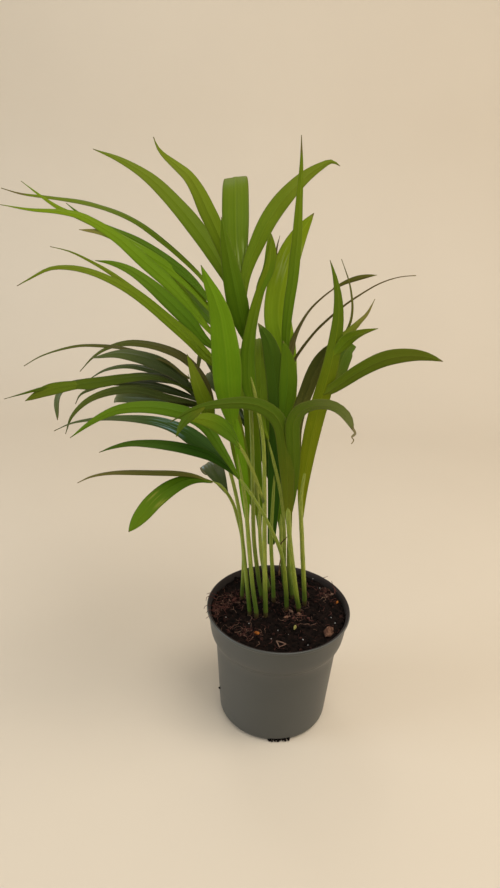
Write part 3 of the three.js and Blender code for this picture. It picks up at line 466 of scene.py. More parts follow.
DRY_TWIGS = [
    [(279, 546, -6), (283, 541, -6), (287, 537, -6), (288, 533, -6)],
    [(279, 575, 0), (280, 562, -1), (284, 548, -2), (285, 530, -3)],
]
# How many of the rest there are.
CRUMBS = 1300
DRAIN_CRUMBS = 60
FIBRES = 420
SMALL_GRAINS = 18

# ---- Finishes of the leaves ----
# Held at every point of a leaf: its place across it (-1 to 1) and along it (0 to 1), its distance from
# the root in millimetres, how dry it is, and a tone that is the same all over the leaf.
LEAF_VALUES = ("across", "along", "reach", "dry", "tone")
# Colour of the painted highlight that some leaves carry as a pale patch.
PAINTED_HIGHLIGHT_COLOUR = (0.36, 0.42, 0.15)
EDGE_TISSUE = (0.09, 0.075, 0.015)
DRY_TISSUE = (0.125, 0.105, 0.032)
LEAF_GLOSS = 0.07
# Leaves whose highlights are stronger than that.
GLOSSIER = {"sheen": 0.16, "glazed": 0.16, "silvery": 0.12}


def leaf(light, shade, tip, rib, rough=0.48, **own):
    """Colours of a leaf's tissue and rib, its roughness, and where its tip and its painted highlight patch
    begin.
    """
    common = {"Tip_From": 0.45, "Pale": 0.0, "Pale_At": 0.5, "Pale_Colour": PAINTED_HIGHLIGHT_COLOUR, **own}
    return {"Light": light, "Shade": shade, "Tip_Colour": tip, "Rib_Colour": rib, "Rough": rough, **common}


LOOKS = {
    "bright": leaf((0.15, 0.245, 0.004), (0.07, 0.145, 0.002), (0.15, 0.215, 0.005), (0.22, 0.31, 0.01)),
    "fresh": leaf((0.115, 0.17, 0.004), (0.06, 0.105, 0.002), (0.12, 0.155, 0.008), (0.16, 0.22, 0.01)),
    "lush": leaf((0.13, 0.24, 0.004), (0.07, 0.16, 0.003), (0.105, 0.2, 0.004), (0.17, 0.27, 0.01)),
    "vivid": leaf((0.08, 0.15, 0.003), (0.036, 0.088, 0.002), (0.082, 0.142, 0.004), (0.1, 0.17, 0.006)),
    "shade": leaf((0.09, 0.155, 0.003), (0.04, 0.095, 0.002), (0.11, 0.155, 0.003), (0.12, 0.18, 0.006)),
    "olive": leaf(
        (0.105, 0.142, 0.005), (0.055, 0.085, 0.003), (0.086, 0.104, 0.006), (0.13, 0.16, 0.008), 0.46,
    ),
    "arched": leaf(
        (0.085, 0.135, 0.004), (0.04, 0.078, 0.002), (0.155, 0.155, 0.05), (0.13, 0.16, 0.004), 0.46,
        Tip_From=0.68,
    ),
    "sheath": leaf((0.165, 0.19, 0.003), (0.095, 0.125, 0.002), (0.055, 0.095, 0.002), (0.19, 0.23, 0.005)),
    "bronze": leaf((0.1, 0.088, 0.022), (0.045, 0.046, 0.009), (0.08, 0.095, 0.012), (0.1, 0.1, 0.02), 0.44),
    "dark": leaf(
        (0.038, 0.05, 0.006), (0.013, 0.022, 0.003), (0.075, 0.095, 0.012), (0.04, 0.06, 0.008), 0.44,
    ),
    "turning": leaf(
        (0.036, 0.05, 0.005), (0.013, 0.022, 0.003), (0.064, 0.096, 0.003), (0.05, 0.09, 0.006), 0.46,
        Tip_From=0.2,
    ),
    "deep": leaf(
        (0.029, 0.08, 0.003), (0.01, 0.038, 0.002), (0.045, 0.085, 0.004), (0.04, 0.09, 0.005), 0.44,
    ),
    "sheen": leaf(
        (0.048, 0.065, 0.01), (0.014, 0.027, 0.004), (0.078, 0.098, 0.022), (0.05, 0.07, 0.012), 0.36,
    ),
    # A deep green with a bluish-white pale patch of painted sheen.
    "silvery": leaf(
        (0.034, 0.076, 0.006), (0.014, 0.044, 0.004), (0.075, 0.09, 0.03), (0.04, 0.08, 0.01), 0.36,
        Pale=0.75, Pale_At=0.45, Pale_Colour=(0.2, 0.33, 0.36),
    ),
    "brown_green": leaf(
        (0.135, 0.135, 0.028), (0.052, 0.064, 0.012), (0.05, 0.06, 0.008), (0.06, 0.065, 0.01), 0.44,
    ),
    "tan": leaf((0.1, 0.102, 0.012), (0.055, 0.058, 0.006), (0.1, 0.095, 0.018), (0.11, 0.12, 0.015), 0.5),
    "fading": leaf((0.15, 0.185, 0.01), (0.09, 0.115, 0.008), (0.19, 0.155, 0.045), (0.19, 0.21, 0.02), 0.5),
    "khaki": leaf((0.15, 0.145, 0.024), (0.09, 0.092, 0.013), (0.14, 0.12, 0.032), (0.13, 0.13, 0.02), 0.5),
    "brown": leaf((0.1, 0.082, 0.022), (0.045, 0.045, 0.01), (0.12, 0.088, 0.036), (0.1, 0.09, 0.02), 0.5),
    "dry": leaf((0.24, 0.2, 0.09), (0.14, 0.11, 0.05), (0.2, 0.16, 0.07), (0.26, 0.22, 0.1), 0.6),
    # Brighter greens than the rest, painted light on a blade that the clump shades, with a pale patch of
    # painted highlight.
    "sunlit": leaf(
        (0.185, 0.29, 0.008), (0.115, 0.195, 0.004), (0.155, 0.21, 0.004), (0.26, 0.36, 0.02),
        Pale=0.5, Pale_At=0.78,
    ),
    "dim": leaf(
        (0.105, 0.125, 0.004), (0.058, 0.08, 0.003), (0.046, 0.086, 0.003), (0.12, 0.14, 0.005), 0.46,
        Tip_From=0.18,
    ),
}
# Each of the four looks below adds a pale patch of painted highlight: yellow-green on the first two,
# yellowish on the third, a bluish painted sheen on the last.
LOOKS["folded"] = {**LOOKS["fresh"], "Pale": 0.75, "Pale_At": 0.2}
LOOKS["glinting"] = {**LOOKS["bright"], "Pale": 0.5, "Pale_At": 0.5}
LOOKS["scuffed"] = {**LOOKS["vivid"], "Pale": 0.5, "Pale_At": 0.62, "Pale_Colour": (0.26, 0.25, 0.04)}
LOOKS["glazed"] = {**LOOKS["sheen"], "Pale": 1.0, "Pale_At": 0.45, "Pale_Colour": (0.2, 0.33, 0.38)}

# ---- Finishes of the soil and what lies in it: dark, light ----
EARTHS = {
    "peat": ((0.0022, 0.0011, 0.0008), (0.01, 0.005, 0.0036)),
    "peat_brown": ((0.009, 0.0038, 0.0028), (0.034, 0.014, 0.01)),
    "bark": ((0.05, 0.024, 0.016), (0.155, 0.08, 0.05)),
    "bark_orange": ((0.16, 0.045, 0.008), (0.3, 0.1, 0.018)),
    "fibre": ((0.048, 0.018, 0.014), (0.115, 0.046, 0.036)),
    "fibre_pale": ((0.1, 0.055, 0.04), (0.2, 0.12, 0.085)),
    "perlite": ((0.16, 0.155, 0.145), (0.36, 0.35, 0.33)),
    "husk": ((0.14, 0.12, 0.03), (0.3, 0.28, 0.09)),
    "twig": ((0.055, 0.03, 0.015), (0.13, 0.075, 0.035)),
}
MATERIALS = {}  # filled by make_materials: finish to material


# ---- Places and courses ----
def line_of_sight(across, down):
    ray = FORWARD + PICTURE_RIGHT * ((across - PICTURE_WIDTH / 2) / FOCAL)
    return ray + PICTURE_UP * ((PICTURE_HEIGHT / 2 - down) / FOCAL)


def placed(place):
    across, down, back = place
    ray = line_of_sight(across, down)
    return EYE + ray * ((back - EYE.y) / ray.y)


def on_soil(across, down, height=SOIL_TOP):
    ray = line_of_sight(across, down)
    return EYE + ray * ((height - EYE.z) / ray.z)


def polar(radius, angle, height):
    return Vector((radius * math.cos(angle), radius * math.sin(angle), height))


def spun(vector, axis, angle):
    vector = vector.copy()
    vector.rotate(Quaternion(axis, angle))
    return vector


class Course:
    """A smooth centripetal curve through places, walked by its length."""

    def __init__(self, places, pieces=240):
        self.places = places
        self.walk = [self.point(i / pieces) for i in range(pieces + 1)]
        self.lengths = [0.0]
        for before, after in zip(self.walk, self.walk[1:]):
            self.lengths.append(self.lengths[-1] + (after - before).length)
        self.length = self.lengths[-1]

    def point(self, t):
        spans = len(self.places) - 1
        k = min(int(t * spans), spans - 1)
        w = t * spans - k
        p = self.places
        b, c = p[k], p[k + 1]
        a = p[k - 1] if k else b * 2 - c
        d = p[k + 2] if k + 2 <= spans else c * 2 - b
        ab, bc, cd = (max(math.sqrt((v - u).length), 1e-4) for u, v in ((a, b), (b, c), (c, d)))
        start = ((b - a) / ab - (c - a) / (ab + bc) + (c - b) / bc) * bc
        end = ((c - b) / bc - (d - b) / (bc + cd) + (d - c) / cd) * bc
        square = (c - b) * 3 - start * 2 - end
        cube = (b - c) * 2 + start + end
        return b + start * w + square * w ** 2 + cube * w ** 3

    def at(self, share):
        """The place and direction at a share of the length."""
        goal = share * self.length
        last = len(self.walk) - 1
        low = min(bisect.bisect_right(self.lengths, goal), last) - 1
        step = max(self.lengths[low + 1] - self.lengths[low], 1e-9)
        place = self.walk[low].lerp(self.walk[low + 1], (goal - self.lengths[low]) / step)
        return place, (self.walk[min(low + 2, last)] - self.walk[max(low - 1, 0)]).normalized()

    def nearest(self, place):
        return min(self.walk, key=lambda point: (point - place).length)

    def frames(self, steps):
        """Places, directions and sideways directions along it, carried along without twist."""
        frames = []
        for i in range(steps + 1):
            place, along = self.at(i / steps)
            if i:
                before = frames[-1]
                side = before[2].copy()
                side.rotate(before[1].rotation_difference(along))
            else:
                side = along.cross(EYE - place).normalized()
            frames.append((place, along, side))
        return frames


def through(values, t):
    """A value that runs evenly through a list, at t from 0 to 1."""
    place = t * (len(values) - 1)
    k = min(int(place), len(values) - 2)
    return values[k] + (values[k + 1] - values[k]) * (place - k)


def ramp(value, low, high):
    """Rises smoothly from 0 at low to 1 at high."""
    t = min(max((value - low) / (high - low), 0), 1)
    return t * t * (3 - 2 * t)


def fullness(t, peak, tail, root_share):
    """Width of a blade along its length, as a share of its widest."""
    if t < peak:
        return root_share + (1 - root_share) * math.sin(math.pi / 2 * t / peak)
    past = (t - peak) / (1 - peak)
    return max(1 - past ** (1 + tail), 0) ** 0.9


# ---- Meshes ----
class Skin:
    """Points, faces and finishes gathered for one mesh, with a value of each kind at every point."""

    def __init__(self, value_names=()):
        self.value_names = value_names
        self.points, self.faces, self.finishes, self.values = [], [], [], []

    def add(self, points, faces, finish, values=()):
        first = len(self.points)
        self.points += points
        self.faces += [[first + k for k in face] for face in faces]
        self.finishes += [finish] * len(faces)
        self.values += values

    def make(self, name, smooth=True):
        """The mesh object, in metres."""
        order = sorted(set(self.finishes))
        mesh = bpy.data.meshes.new(name)
        mesh.from_pydata([point * MM for point in self.points], [], self.faces)
        for finish in order:
            mesh.materials.append(MATERIALS[finish])
        mesh.polygons.foreach_set("material_index", [order.index(finish) for finish in self.finishes])
        mesh.polygons.foreach_set("use_smooth", [smooth] * len(self.faces))
        for key, numbers in zip(self.value_names, zip(*self.values)):
            mesh.attributes.new(key, "FLOAT", "POINT").data.foreach_set("value", numbers)
        mesh.validate()
        mesh.update()
        piece = bpy.data.objects.new(name, mesh)
        bpy.context.scene.collection.objects.link(piece)
        return piece


def ring_faces(rings, count, upper=None):
    """Faces of a closed solid through rings of equal counts of points, with both ends closed.

    upper: how many points of a ring lie on a thin blade's upper side. Its two sides are then split
    into triangles alike, so that they never cross.
    """
    faces = []
    for i in range(rings - 1):
        for a in range(count):
            b = (a + 1) % count
            low_a, low_b, high_a, high_b = (ring * count + k for ring in (i, i + 1) for k in (a, b))
            if upper is None:
                faces.append([low_a, low_b, high_b, high_a])
            elif a < upper:
                faces += [[low_a, low_b, high_b], [low_a, high_b, high_a]]
            else:
                faces += [[low_a, low_b, high_a], [low_b, high_b, high_a]]
    last = (rings - 1) * count
    return faces + [[*range(count - 1, -1, -1)], [*range(last, last + count)]]


def dressed(piece, slot, *nodes):
    """The piece rides on the body and stands for the named nodes. Its slot is not used."""
    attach(piece, "root")
    if nodes:
        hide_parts(*nodes)


# ---- Leaves and stalks ----
def blade_ring(frame_at, t, half, turn, wave, keel):
    """One ring of points round a blade: its upper face from edge to edge, then its lower one."""
    place, along, side = frame_at
    across = spun(side, along, math.radians(turn))
    up = across.cross(along)
    ridge = keel + ROOT_FOLD * (1 - ramp(t, 0, 0.12))
    shares = [2 * k / (BLADE_COLUMNS - 1) - 1 for k in range(BLADE_COLUMNS)]
    ring = []
    for face, row in ((1, shares), (-1, shares[::-1])):
        for s in row:
            flat = abs(s)
            thickness = EDGE_THICKNESS + (RIB_THICKNESS - EDGE_THICKNESS) * (1 - flat) ** 2
            fold = SIDE_FOLDS * keel * half * math.cos(3 * math.pi * s) * (1 - flat)
            drop = ridge * half * (flat + 0.25 * flat ** 2) / 1.25
            sway = wave * flat ** 2 * (1 if s > 0 else -1)
            ring.append(place + across * (s * half) + up * (face * thickness / 2 - drop + fold + sway))
    return ring, shares + shares[::-1]


def add_blade(skin, course, plan, chance):
    """A thin blade with a keel, soft folds beside it and gently waved edges."""
    width, dry_from = plan["width"], plan["dry"]
    tone = chance.random()
    phase = chance.uniform(0, 2 * math.pi)
    wavelength = chance.uniform(24, 40)
    points, values = [], []
    for i, frame_at in enumerate(course.frames(BLADE_STEPS)):
        t = i / BLADE_STEPS
        half = max(width * fullness(t, plan["peak"], plan["tail"], plan["root"] / width), TIP_WIDTH) / 2
        reach = t * course.length
        wave = EDGE_WAVE * half * math.sin(2 * math.pi * reach / wavelength + phase)
        wave *= ramp(t, 0.1, 0.3)
        ring, shares = blade_ring(frame_at, t, half, through(plan["turn"], t), wave, plan["ridge"])
        points += ring
        dry = ramp(t, dry_from - 0.05, dry_from + 0.05)
        values += [(share, t, reach, dry, tone) for share in shares]
    faces = ring_faces(BLADE_STEPS + 1, 2 * BLADE_COLUMNS, BLADE_COLUMNS)
    skin.add(points, faces, plan["look"], values)


def add_stalk(skin, course, plan, chance):
    """A stalk with shallow grooves and the mouths of its sheaths, drawn out to a point at its top."""
    low, high = plan["radius"]
    mouths = sorted(chance.uniform(0.12, 0.95) for _ in range(MOUTHS))
    tone = chance.random()
    frames = course.frames(STALK_STEPS)
    first_side = Vector((*frames[0][2].xy, 0)).normalized()
    frames.insert(0, (Vector((*plan["foot"], WELL_FLOOR)), UP, first_side))
    points, values = [], []
    for i, (place, along, side) in enumerate(frames):
        t = i / (len(frames) - 1)
        radius = low + (high - low) * t
        for mouth in mouths:
            radius *= 1 + MOUTH_SWELL * (1 - ramp(abs(t - mouth), 0.0, 0.03))
        radius *= 1 - 0.85 * ramp(t, 0.93, 1.0)
        for k in range(STALK_SIDES):
            angle = 2 * math.pi * k / STALK_SIDES
            groove = 1 + GROOVE_DEPTH * math.cos(4 * angle + 2 * t)
            points.append(place + spun(side, along, angle) * (radius * groove))
            values.append((math.cos(angle), t, t * course.length, 0.0, tone))
    skin.add(points, ring_faces(len(frames), STALK_SIDES), "stalk", values)


def leafy_shoot(name, plan, seed):
    """A stem with its blades, in the place of the plain stem."""
    chance = random.Random(seed)
    skin = Skin(LEAF_VALUES)
    start = Vector((*plan["foot"], SOIL_TOP + 4))
    stalk = Course([start] + [placed(place) for place in plan["stalk"]])
    add_stalk(skin, stalk, plan, chance)
    ribs = {}
    for blade_name, blade_plan in plan["blades"].items():
        places = [placed(place) for place in blade_plan["rib"]]
        places[0] = ribs.get(blade_plan["fork_of"], stalk).nearest(places[0])
        ribs[blade_name] = Course(places)
        add_blade(skin, ribs[blade_name], blade_plan, chance)
    dressed(skin.make("shoot_" + name), plan["slot"], "stem_" + name)


# ---- The pot ----
def pot_radius(z):
    """Radius of the pot's outside at a height."""
    stages = [
        (0, FOOT_RADIUS), (BODY_TOP_HEIGHT, BODY_TOP_RADIUS), (COLLAR_FOOT_HEIGHT, COLLAR_FOOT_RADIUS),
        (POT_HEIGHT, COLLAR_TOP_RADIUS),
    ]
    for (low, low_radius), (high, high_radius) in zip(stages, stages[1:]):
        if z <= high:
            return low_radius + (high_radius - low_radius) * (z - low) / (high - low)
    return COLLAR_TOP_RADIUS


def rounded(corners, roundings, steps):
    """An open outline with each inner corner rounded by a short curve of its own size."""
    outline = [corners[0]]
    for before, corner, after, rounding in zip(corners, corners[1:], corners[2:], roundings[1:]):
        into, out = before - corner, after - corner
        start = corner + into.normalized() * min(rounding, into.length / 2.2)
        end = corner + out.normalized() * min(rounding, out.length / 2.2)
        for k in range(steps + 1):
            t = k / steps
            outline.append(start * (1 - t) ** 2 + corner * (2 * t * (1 - t)) + end * t ** 2)
    return outline + [corners[-1]]


def pot_outline():
    """Radius and height round the shell's section, from the middle of its foot to that of its floor."""
    lip_foot = POT_HEIGHT - LIP_HEIGHT
    inside = [
        (pot_radius(z) - POT_WALL, z + POT_WALL) for z in (COLLAR_FOOT_HEIGHT, BODY_TOP_HEIGHT)
    ]
    corners = [
        (0.2, 0.9), (FOOT_RADIUS - 9, 0.9), (FOOT_RADIUS - 7, 0), (FOOT_RADIUS - FOOT_ROUNDING, 0),
        (FOOT_RADIUS - 1.2, 1.2), (pot_radius(FOOT_ROUNDING), FOOT_ROUNDING),
        (pot_radius(40), 40), (BODY_TOP_RADIUS, BODY_TOP_HEIGHT),
        (COLLAR_FOOT_RADIUS, COLLAR_FOOT_HEIGHT), (pot_radius(lip_foot), lip_foot),
        (RIM_RADIUS, lip_foot + 0.6), (RIM_RADIUS, POT_HEIGHT), (RIM_RADIUS - 1.5, POT_HEIGHT),
        (pot_radius(POT_HEIGHT - 1.5) - POT_WALL, POT_HEIGHT - 1.1), *inside,
        (pot_radius(FOOT_ROUNDING) - POT_WALL, FOOT_ROUNDING + 0.6),
        (FOOT_RADIUS - FOOT_ROUNDING - 1, POT_FLOOR), (0.2, POT_FLOOR),
    ]
    step = (BODY_TOP_HEIGHT, COLLAR_FOOT_HEIGHT)
    roundings = [COLLAR_ROUNDING if corner[1] in step else CORNER_ROUNDING for corner in corners]
    return rounded([Vector(corner) for corner in corners], roundings, steps=6)


def box_of(size, centre, turn):
    """Points and faces of a box turned about the upright through the origin."""
    points = []
    for x, y, z in ((a, b, c) for a in (-1, 1) for b in (-1, 1) for c in (-1, 1)):
        point = Vector((x * size[0] / 2, y * size[1] / 2, z * size[2] / 2)) + Vector(centre)
        points.append(spun(point, UP, turn))
    return points, [[0, 1, 3, 2], [4, 6, 7, 5], [0, 4, 5, 1], [2, 3, 7, 6], [0, 2, 6, 4], [1, 5, 7, 3]]


def cut_by(piece, cutter):
    """Takes the cutter's space out of the piece, for good, and removes the cutter."""
    cut = piece.modifiers.new("cut", "BOOLEAN")
    cut.operation = "DIFFERENCE"
    cut.solver = "EXACT"
    cut.object = cutter
    bpy.context.view_layer.update()
    done = bpy.data.meshes.new_from_object(piece.evaluated_get(bpy.context.evaluated_depsgraph_get()))
    piece.modifiers.clear()
    piece.data = done
    bpy.data.objects.remove(cutter)


def nursery_pot():
    outline = pot_outline()
    turns = [2 * math.pi * k / POT_SIDES for k in range(POT_SIDES)]
    skin = Skin()
    points = [polar(spot.x, turn, spot.y) for spot in outline for turn in turns]
    skin.add(points, ring_faces(len(outline), POT_SIDES), "pot")
    pot = skin.make("pot_shell")
    slots = Skin()
    for k in range(DRAINS["count"]):
        turn = math.radians(DRAINS["first_angle"] + 360 * k / DRAINS["count"])
        size = (DRAINS["inward"] * 2, DRAINS["width"], DRAINS["height"] * 2)
        slots.add(*box_of(size, (FOOT_RADIUS, 0, 0), turn), "pot")
    cut_by(pot, slots.make("drain_slots"))
    dressed(pot, "pot_plastic", "nursery_pot")


# ---- The soil and what lies in it ----
def soil_height(x, y):
    """Height of the peat's surface: lumps, hollows and grit."""
    place = Vector((x, y, 3.7))
    lumps = noise.fractal(place * 0.055, 1.0, 2.1, 3)
    clods = noise.fractal(place * 0.22, 0.9, 2.2, 4)
    grit = noise.noise(place * 1.1)
    return SOIL_TOP - SOIL_SINK + SOIL_LUMPS * lumps + SOIL_CLODS * clods + SOIL_GRIT * grit


def peat_bed():
    """The whole mass of peat, from the pot's floor up, with a lumpy surface that falls at the rim."""
    rings, sides = 76, 240
    edge = pot_radius(SOIL_TOP - POT_WALL) - POT_WALL - SOIL_GAP
    outline = [(FOOT_RADIUS - FOOT_ROUNDING - 2, POT_FLOOR + SOIL_GAP)]
    for z in (FOOT_ROUNDING + 2, BODY_TOP_HEIGHT + POT_WALL, COLLAR_FOOT_HEIGHT + POT_WALL + 1):
        outline.append((pot_radius(z - POT_WALL) - POT_WALL - 2 * SOIL_GAP, z))
    outline += [(edge * (1 - k / rings) + 0.05, None) for k in range(rings)]
    points = []
    for radius, height in outline:
        for k in range(sides):
            point = polar(radius, 2 * math.pi * k / sides, height or 0)
            if height is None:
                point.z = soil_height(point.x, point.y) - RIM_FALL * ramp(radius, edge - 2, edge)
            points.append(point)
    skin = Skin()
    skin.add(points, ring_faces(len(outline), sides), "peat")
    dressed(skin.make("peat_bed"), "peat", "potting_soil")


def rough_stone(size, turn, centre, seed, detail=1, roughness=0.28):
    """Points and faces of a rough grain of the given size."""
    form = bmesh.new()
    bmesh.ops.create_icosphere(form, subdivisions=detail, radius=0.5)
    points = []
    for vertex in form.verts:
        bump = 1 + roughness * noise.noise(vertex.co * 3.1 + Vector((seed * 1.7, seed * 0.9, seed * 2.3)))
        point = Vector((vertex.co.x * size[0], vertex.co.y * size[1], vertex.co.z * size[2])) * bump
        points.append(spun(point, UP, turn) + centre)
    faces = [[vertex.index for vertex in face.verts] for face in form.faces]
    form.free()
    return points, faces


def flake(size, turn, tilt, centre, seed, corners=6):
    """Points and faces of a thin chip with a ragged outline, tilted and half sunk in the soil."""
    chance = random.Random(seed)
    reaches = [chance.uniform(0.62, 1.0) for _ in range(corners)]
    rings = ((-0.5, 0.78), (-0.3, 1.0), (0.3, 1.0), (0.5, 0.8))
    points = []
    for height, share in rings:
        for k, reach in enumerate(reaches):
            angle = 2 * math.pi * k / corners
            across, along = math.cos(angle) * reach * share, math.sin(angle) * reach * share
            point = Vector((across * size[0] / 2, along * size[1] / 2, height * size[2]))
            point.z += 0.25 * size[2] * noise.noise(point * 0.6 + Vector((seed, 0, 0)))
            points.append(spun(spun(point, LEVEL, tilt), UP, turn) + centre)
    return points, ring_faces(len(rings), corners)


def spot_on_soil(chance, edge):
    angle = chance.uniform(0, 2 * math.pi)
    spot = polar(edge * math.sqrt(chance.random()), angle, 0)
    spot.z = soil_height(spot.x, spot.y)
    return spot


def peat_crumbs():
    """Loose crumbs of peat, from dust to clods, over the whole surface, by a drain and on the pot."""
    chance = random.Random(7)
    skin = Skin()
    for k in range(CRUMBS):
        spot = spot_on_soil(chance, SOIL_REACH + 2)
        size = 0.7 + 3.4 * chance.random() ** 3
        shape = (size * chance.uniform(0.8, 1.5), size * chance.uniform(0.7, 1.0), size * 0.8)
        finish = "peat" if chance.random() < 0.78 else "peat_brown"
        spot.z += 0.12 * size
        skin.add(*rough_stone(shape, chance.uniform(0, 6.3), spot, k), finish)
    for k in range(DRAIN_CRUMBS):
        angle = math.radians(DRAINS["first_angle"] + chance.uniform(-12, 12))
        size = chance.uniform(0.8, 2.4)
        radius = FOOT_RADIUS + chance.uniform(-3.5, 0.8)
        spot = polar(radius, angle, 0.5 * size + chance.uniform(0, 1.2))
        skin.add(*rough_stone((size * 1.2, size, size * 0.7), k, spot, k), "peat")
    height, size = STUCK_CRUMB["height"], STUCK_CRUMB["size"]
    spot = polar(pot_radius(height) + 0.5, math.radians(STUCK_CRUMB["angle"]), height)
    skin.add(*rough_stone((size, size * 0.8, size * 0.8), 0, spot, 5, 2, 0.6), "peat")
    dressed(skin.make("peat_crumbs", smooth=False), "peat")


def add_strand(skin, course, radius, finish, steps, sides, taper=0.6):
    """A thin round strand along a course, thinner towards its end."""
    points = []
    for i, (place, along, side) in enumerate(course.frames(steps)):
        thick = radius * (1 - taper * i / steps)
        points += [place + spun(side, along, 2 * math.pi * k / sides) * thick for k in range(sides)]
    skin.add(points, ring_faces(steps + 1, sides), finish)


def root_fibres():
    """Fine reddish fibres in the peat, thickest at the left of the clump."""
    chance = random.Random(11)
    skin = Skin()
    nests = [on_soil(*at) for at in FIBRE_NESTS]
    for k in range(FIBRES):
        if k % 4 == 0:
            spot = spot_on_soil(chance, SOIL_REACH)
        else:
            spot = nests[k % len(nests)] + Vector((chance.gauss(0, 6), chance.gauss(0, 5), 0))
            if spot.xy.length > SOIL_REACH:
                spot.xy = spot.xy * (SOIL_REACH / spot.xy.length)
        heading = chance.uniform(0, 2 * math.pi)
        length = chance.uniform(3, 10)
        places = []
        for j in range(4):
            heading += chance.uniform(-0.7, 0.7)
            x = spot.x + math.cos(heading) * length * j / 3
            y = spot.y + math.sin(heading) * length * j / 3
            far = math.hypot(x, y)
            if far > SOIL_REACH + 1:
                x, y = x * (SOIL_REACH + 1) / far, y * (SOIL_REACH + 1) / far
            places.append(Vector((x, y, soil_height(x, y) + chance.uniform(-0.2, 1.6))))
        finish = "fibre" if chance.random() < 0.7 else "fibre_pale"
        add_strand(skin, Course(places, 30), chance.uniform(0.12, 0.3), finish, steps=8, sides=5)
    for strand in LOOSE_STRANDS:
        add_strand(skin, Course([on_soil(*place) for place in strand]), 0.4, "fibre", steps=14, sides=6)
    dressed(skin.make("root_fibres"), "peat")


def perlite_grains():
    chance = random.Random(5)
    skin = Skin()
    for k, at in enumerate(PERLITE):
        spot = on_soil(*at)
        spot.z = soil_height(spot.x, spot.y) + 0.4
        size = chance.uniform(0.7, 1.5)
        skin.add(*rough_stone((size, size * 0.7, size * 0.6), k, spot, k, 2, 0.7), "perlite")
    for k in range(SMALL_GRAINS):
        spot = spot_on_soil(chance, SOIL_REACH)
        size = chance.uniform(0.3, 0.6)
        skin.add(*rough_stone((size, size, size * 0.8), k, spot, k), "perlite")
    dressed(skin.make("perlite_grains"), "peat")


def bark_chips():
    skin = Skin()
    for k, (at, size, turn, tilt, finish) in enumerate(BARK_CHIPS):
        spot = on_soil(*at) + UP * 0.8
        skin.add(*flake(size, math.radians(turn), math.radians(tilt), spot, k + 20), finish)
    for splinter in SPLINTERS:
        course = Course([on_soil(*place) for place in splinter])
        add_strand(skin, course, 0.5, "fibre_pale", steps=8, sides=6, taper=0.3)
    dressed(skin.make("bark_chips", smooth=False), "peat")


def seed_husk():
    skin = Skin()
    spot = on_soil(*HUSK["at"]) + UP * 0.8
    skin.add(*rough_stone(HUSK["size"], math.radians(HUSK["turn"]), spot, 3, 3, 0.25), "husk")
    dressed(skin.make("seed_husk"), "peat")


def dry_twigs():
    skin = Skin()
    for twig in DRY_TWIGS:
        add_strand(skin, Course([placed(place) for place in twig]), 0.55, "twig", steps=16, sides=7)
    dressed(skin.make("dry_twigs"), "peat")


# ---- Node materials ----
class Flow:
    """What runs out of a node's socket. Sums and products of flows are Math nodes."""

    def __init__(self, sheet, socket):
        self.sheet = sheet
        self.socket = socket

    def __add__(self, other):
        return self.sheet.maths("ADD", self, other)

    def __sub__(self, other):
        return self.sheet.maths("SUBTRACT", self, other)

    def __rsub__(self, other):
        return self.sheet.maths("SUBTRACT", other, self)

    def __mul__(self, other):
        return self.sheet.maths("MULTIPLY", self, other)

    def __abs__(self):
        return self.sheet.maths("ABSOLUTE", self)

    def clamped(self):
        """The result of its own Math node, kept between 0 and 1."""
        self.socket.node.use_clamp = True
        return self

    def steps(self, low, high):
        """Rises smoothly from 0 at low to 1 at high."""
        node = self.sheet.add("MapRange", Value=self, From_Min=low, From_Max=high)
        node.interpolation_type = "SMOOTHSTEP"
        return self.sheet.flow(node)


class Sheet:
    """The nodes of a material or a group, with short ways to add and join them."""

    def __init__(self, tree):
        self.tree = tree

    def flow(self, node, output=0):
        return Flow(self, node.outputs[output])

    def feed(self, node, **inputs):
        """Sets or joins inputs, each by its name with _ for a space, or by n and its number."""
        for name, value in inputs.items():
            socket = node.inputs[int(name[1:]) if name[1:].isdigit() else name.replace("_", " ")]
            if isinstance(value, Flow):
                self.tree.links.new(value.socket, socket)
            else:
                socket.default_value = (*value, 1.0) if socket.type == "RGBA" else value

    def add(self, kind, **inputs):
        node = self.tree.nodes.new("ShaderNode" + kind)
        self.feed(node, **inputs)
        return node

    def group(self, tree, **inputs):
        """Places a node group, and gives its outputs by name."""
        node = self.tree.nodes.new("ShaderNodeGroup")
        node.node_tree = tree
        self.feed(node, **inputs)
        return {socket.name: Flow(self, socket) for socket in node.outputs}

    def maths(self, operation, a, b=0.0):
        node = self.add("Math", n0=a, n1=b)
        node.operation = operation
        return self.flow(node)

    def blend(self, share, first, second):
        node = self.add("Mix")
        node.data_type = "RGBA"
        self.feed(node, n0=share, n6=first, n7=second)
        return self.flow(node, 2)

    def vector(self, x, y):
        return self.flow(self.add("CombineXYZ", X=x, Y=y))

    def noise(self, vector, scale, detail=3.0, roughness=0.5):
        return self.flow(self.add("TexNoise", Vector=vector, Scale=scale, Detail=detail, Roughness=roughness))

    def place(self):
        return self.flow(self.add("TexCoord"), "Object")

    def bump(self, shader, height, distance, strength=0.5):
        node = self.add("Bump", Height=height, Distance=distance, Strength=strength)
        self.feed(shader, Normal=self.flow(node))

    def leaf_values(self):
        """What a leaf's mesh holds at its points, by name."""
        values = {}
        for name in LEAF_VALUES:
            node = self.add("Attribute")
            node.attribute_name = name
            values[name.title()] = self.flow(node, "Fac")
        return values


def new_group(name, inputs, outputs):
    """A shader node group with named sockets. inputs and outputs: kind of socket to their names."""
    group = bpy.data.node_groups.new(name, "ShaderNodeTree")
    for way, kinds in (("INPUT", inputs), ("OUTPUT", outputs)):
        for kind, names in kinds.items():
            for socket_name in names:
                group.interface.new_socket(socket_name, in_out=way, socket_type="NodeSocket" + kind)
    sheet = Sheet(group)
    given = {socket.name: Flow(sheet, socket) for socket in group.nodes.new("NodeGroupInput").outputs}
    return sheet, given, group.nodes.new("NodeGroupOutput")


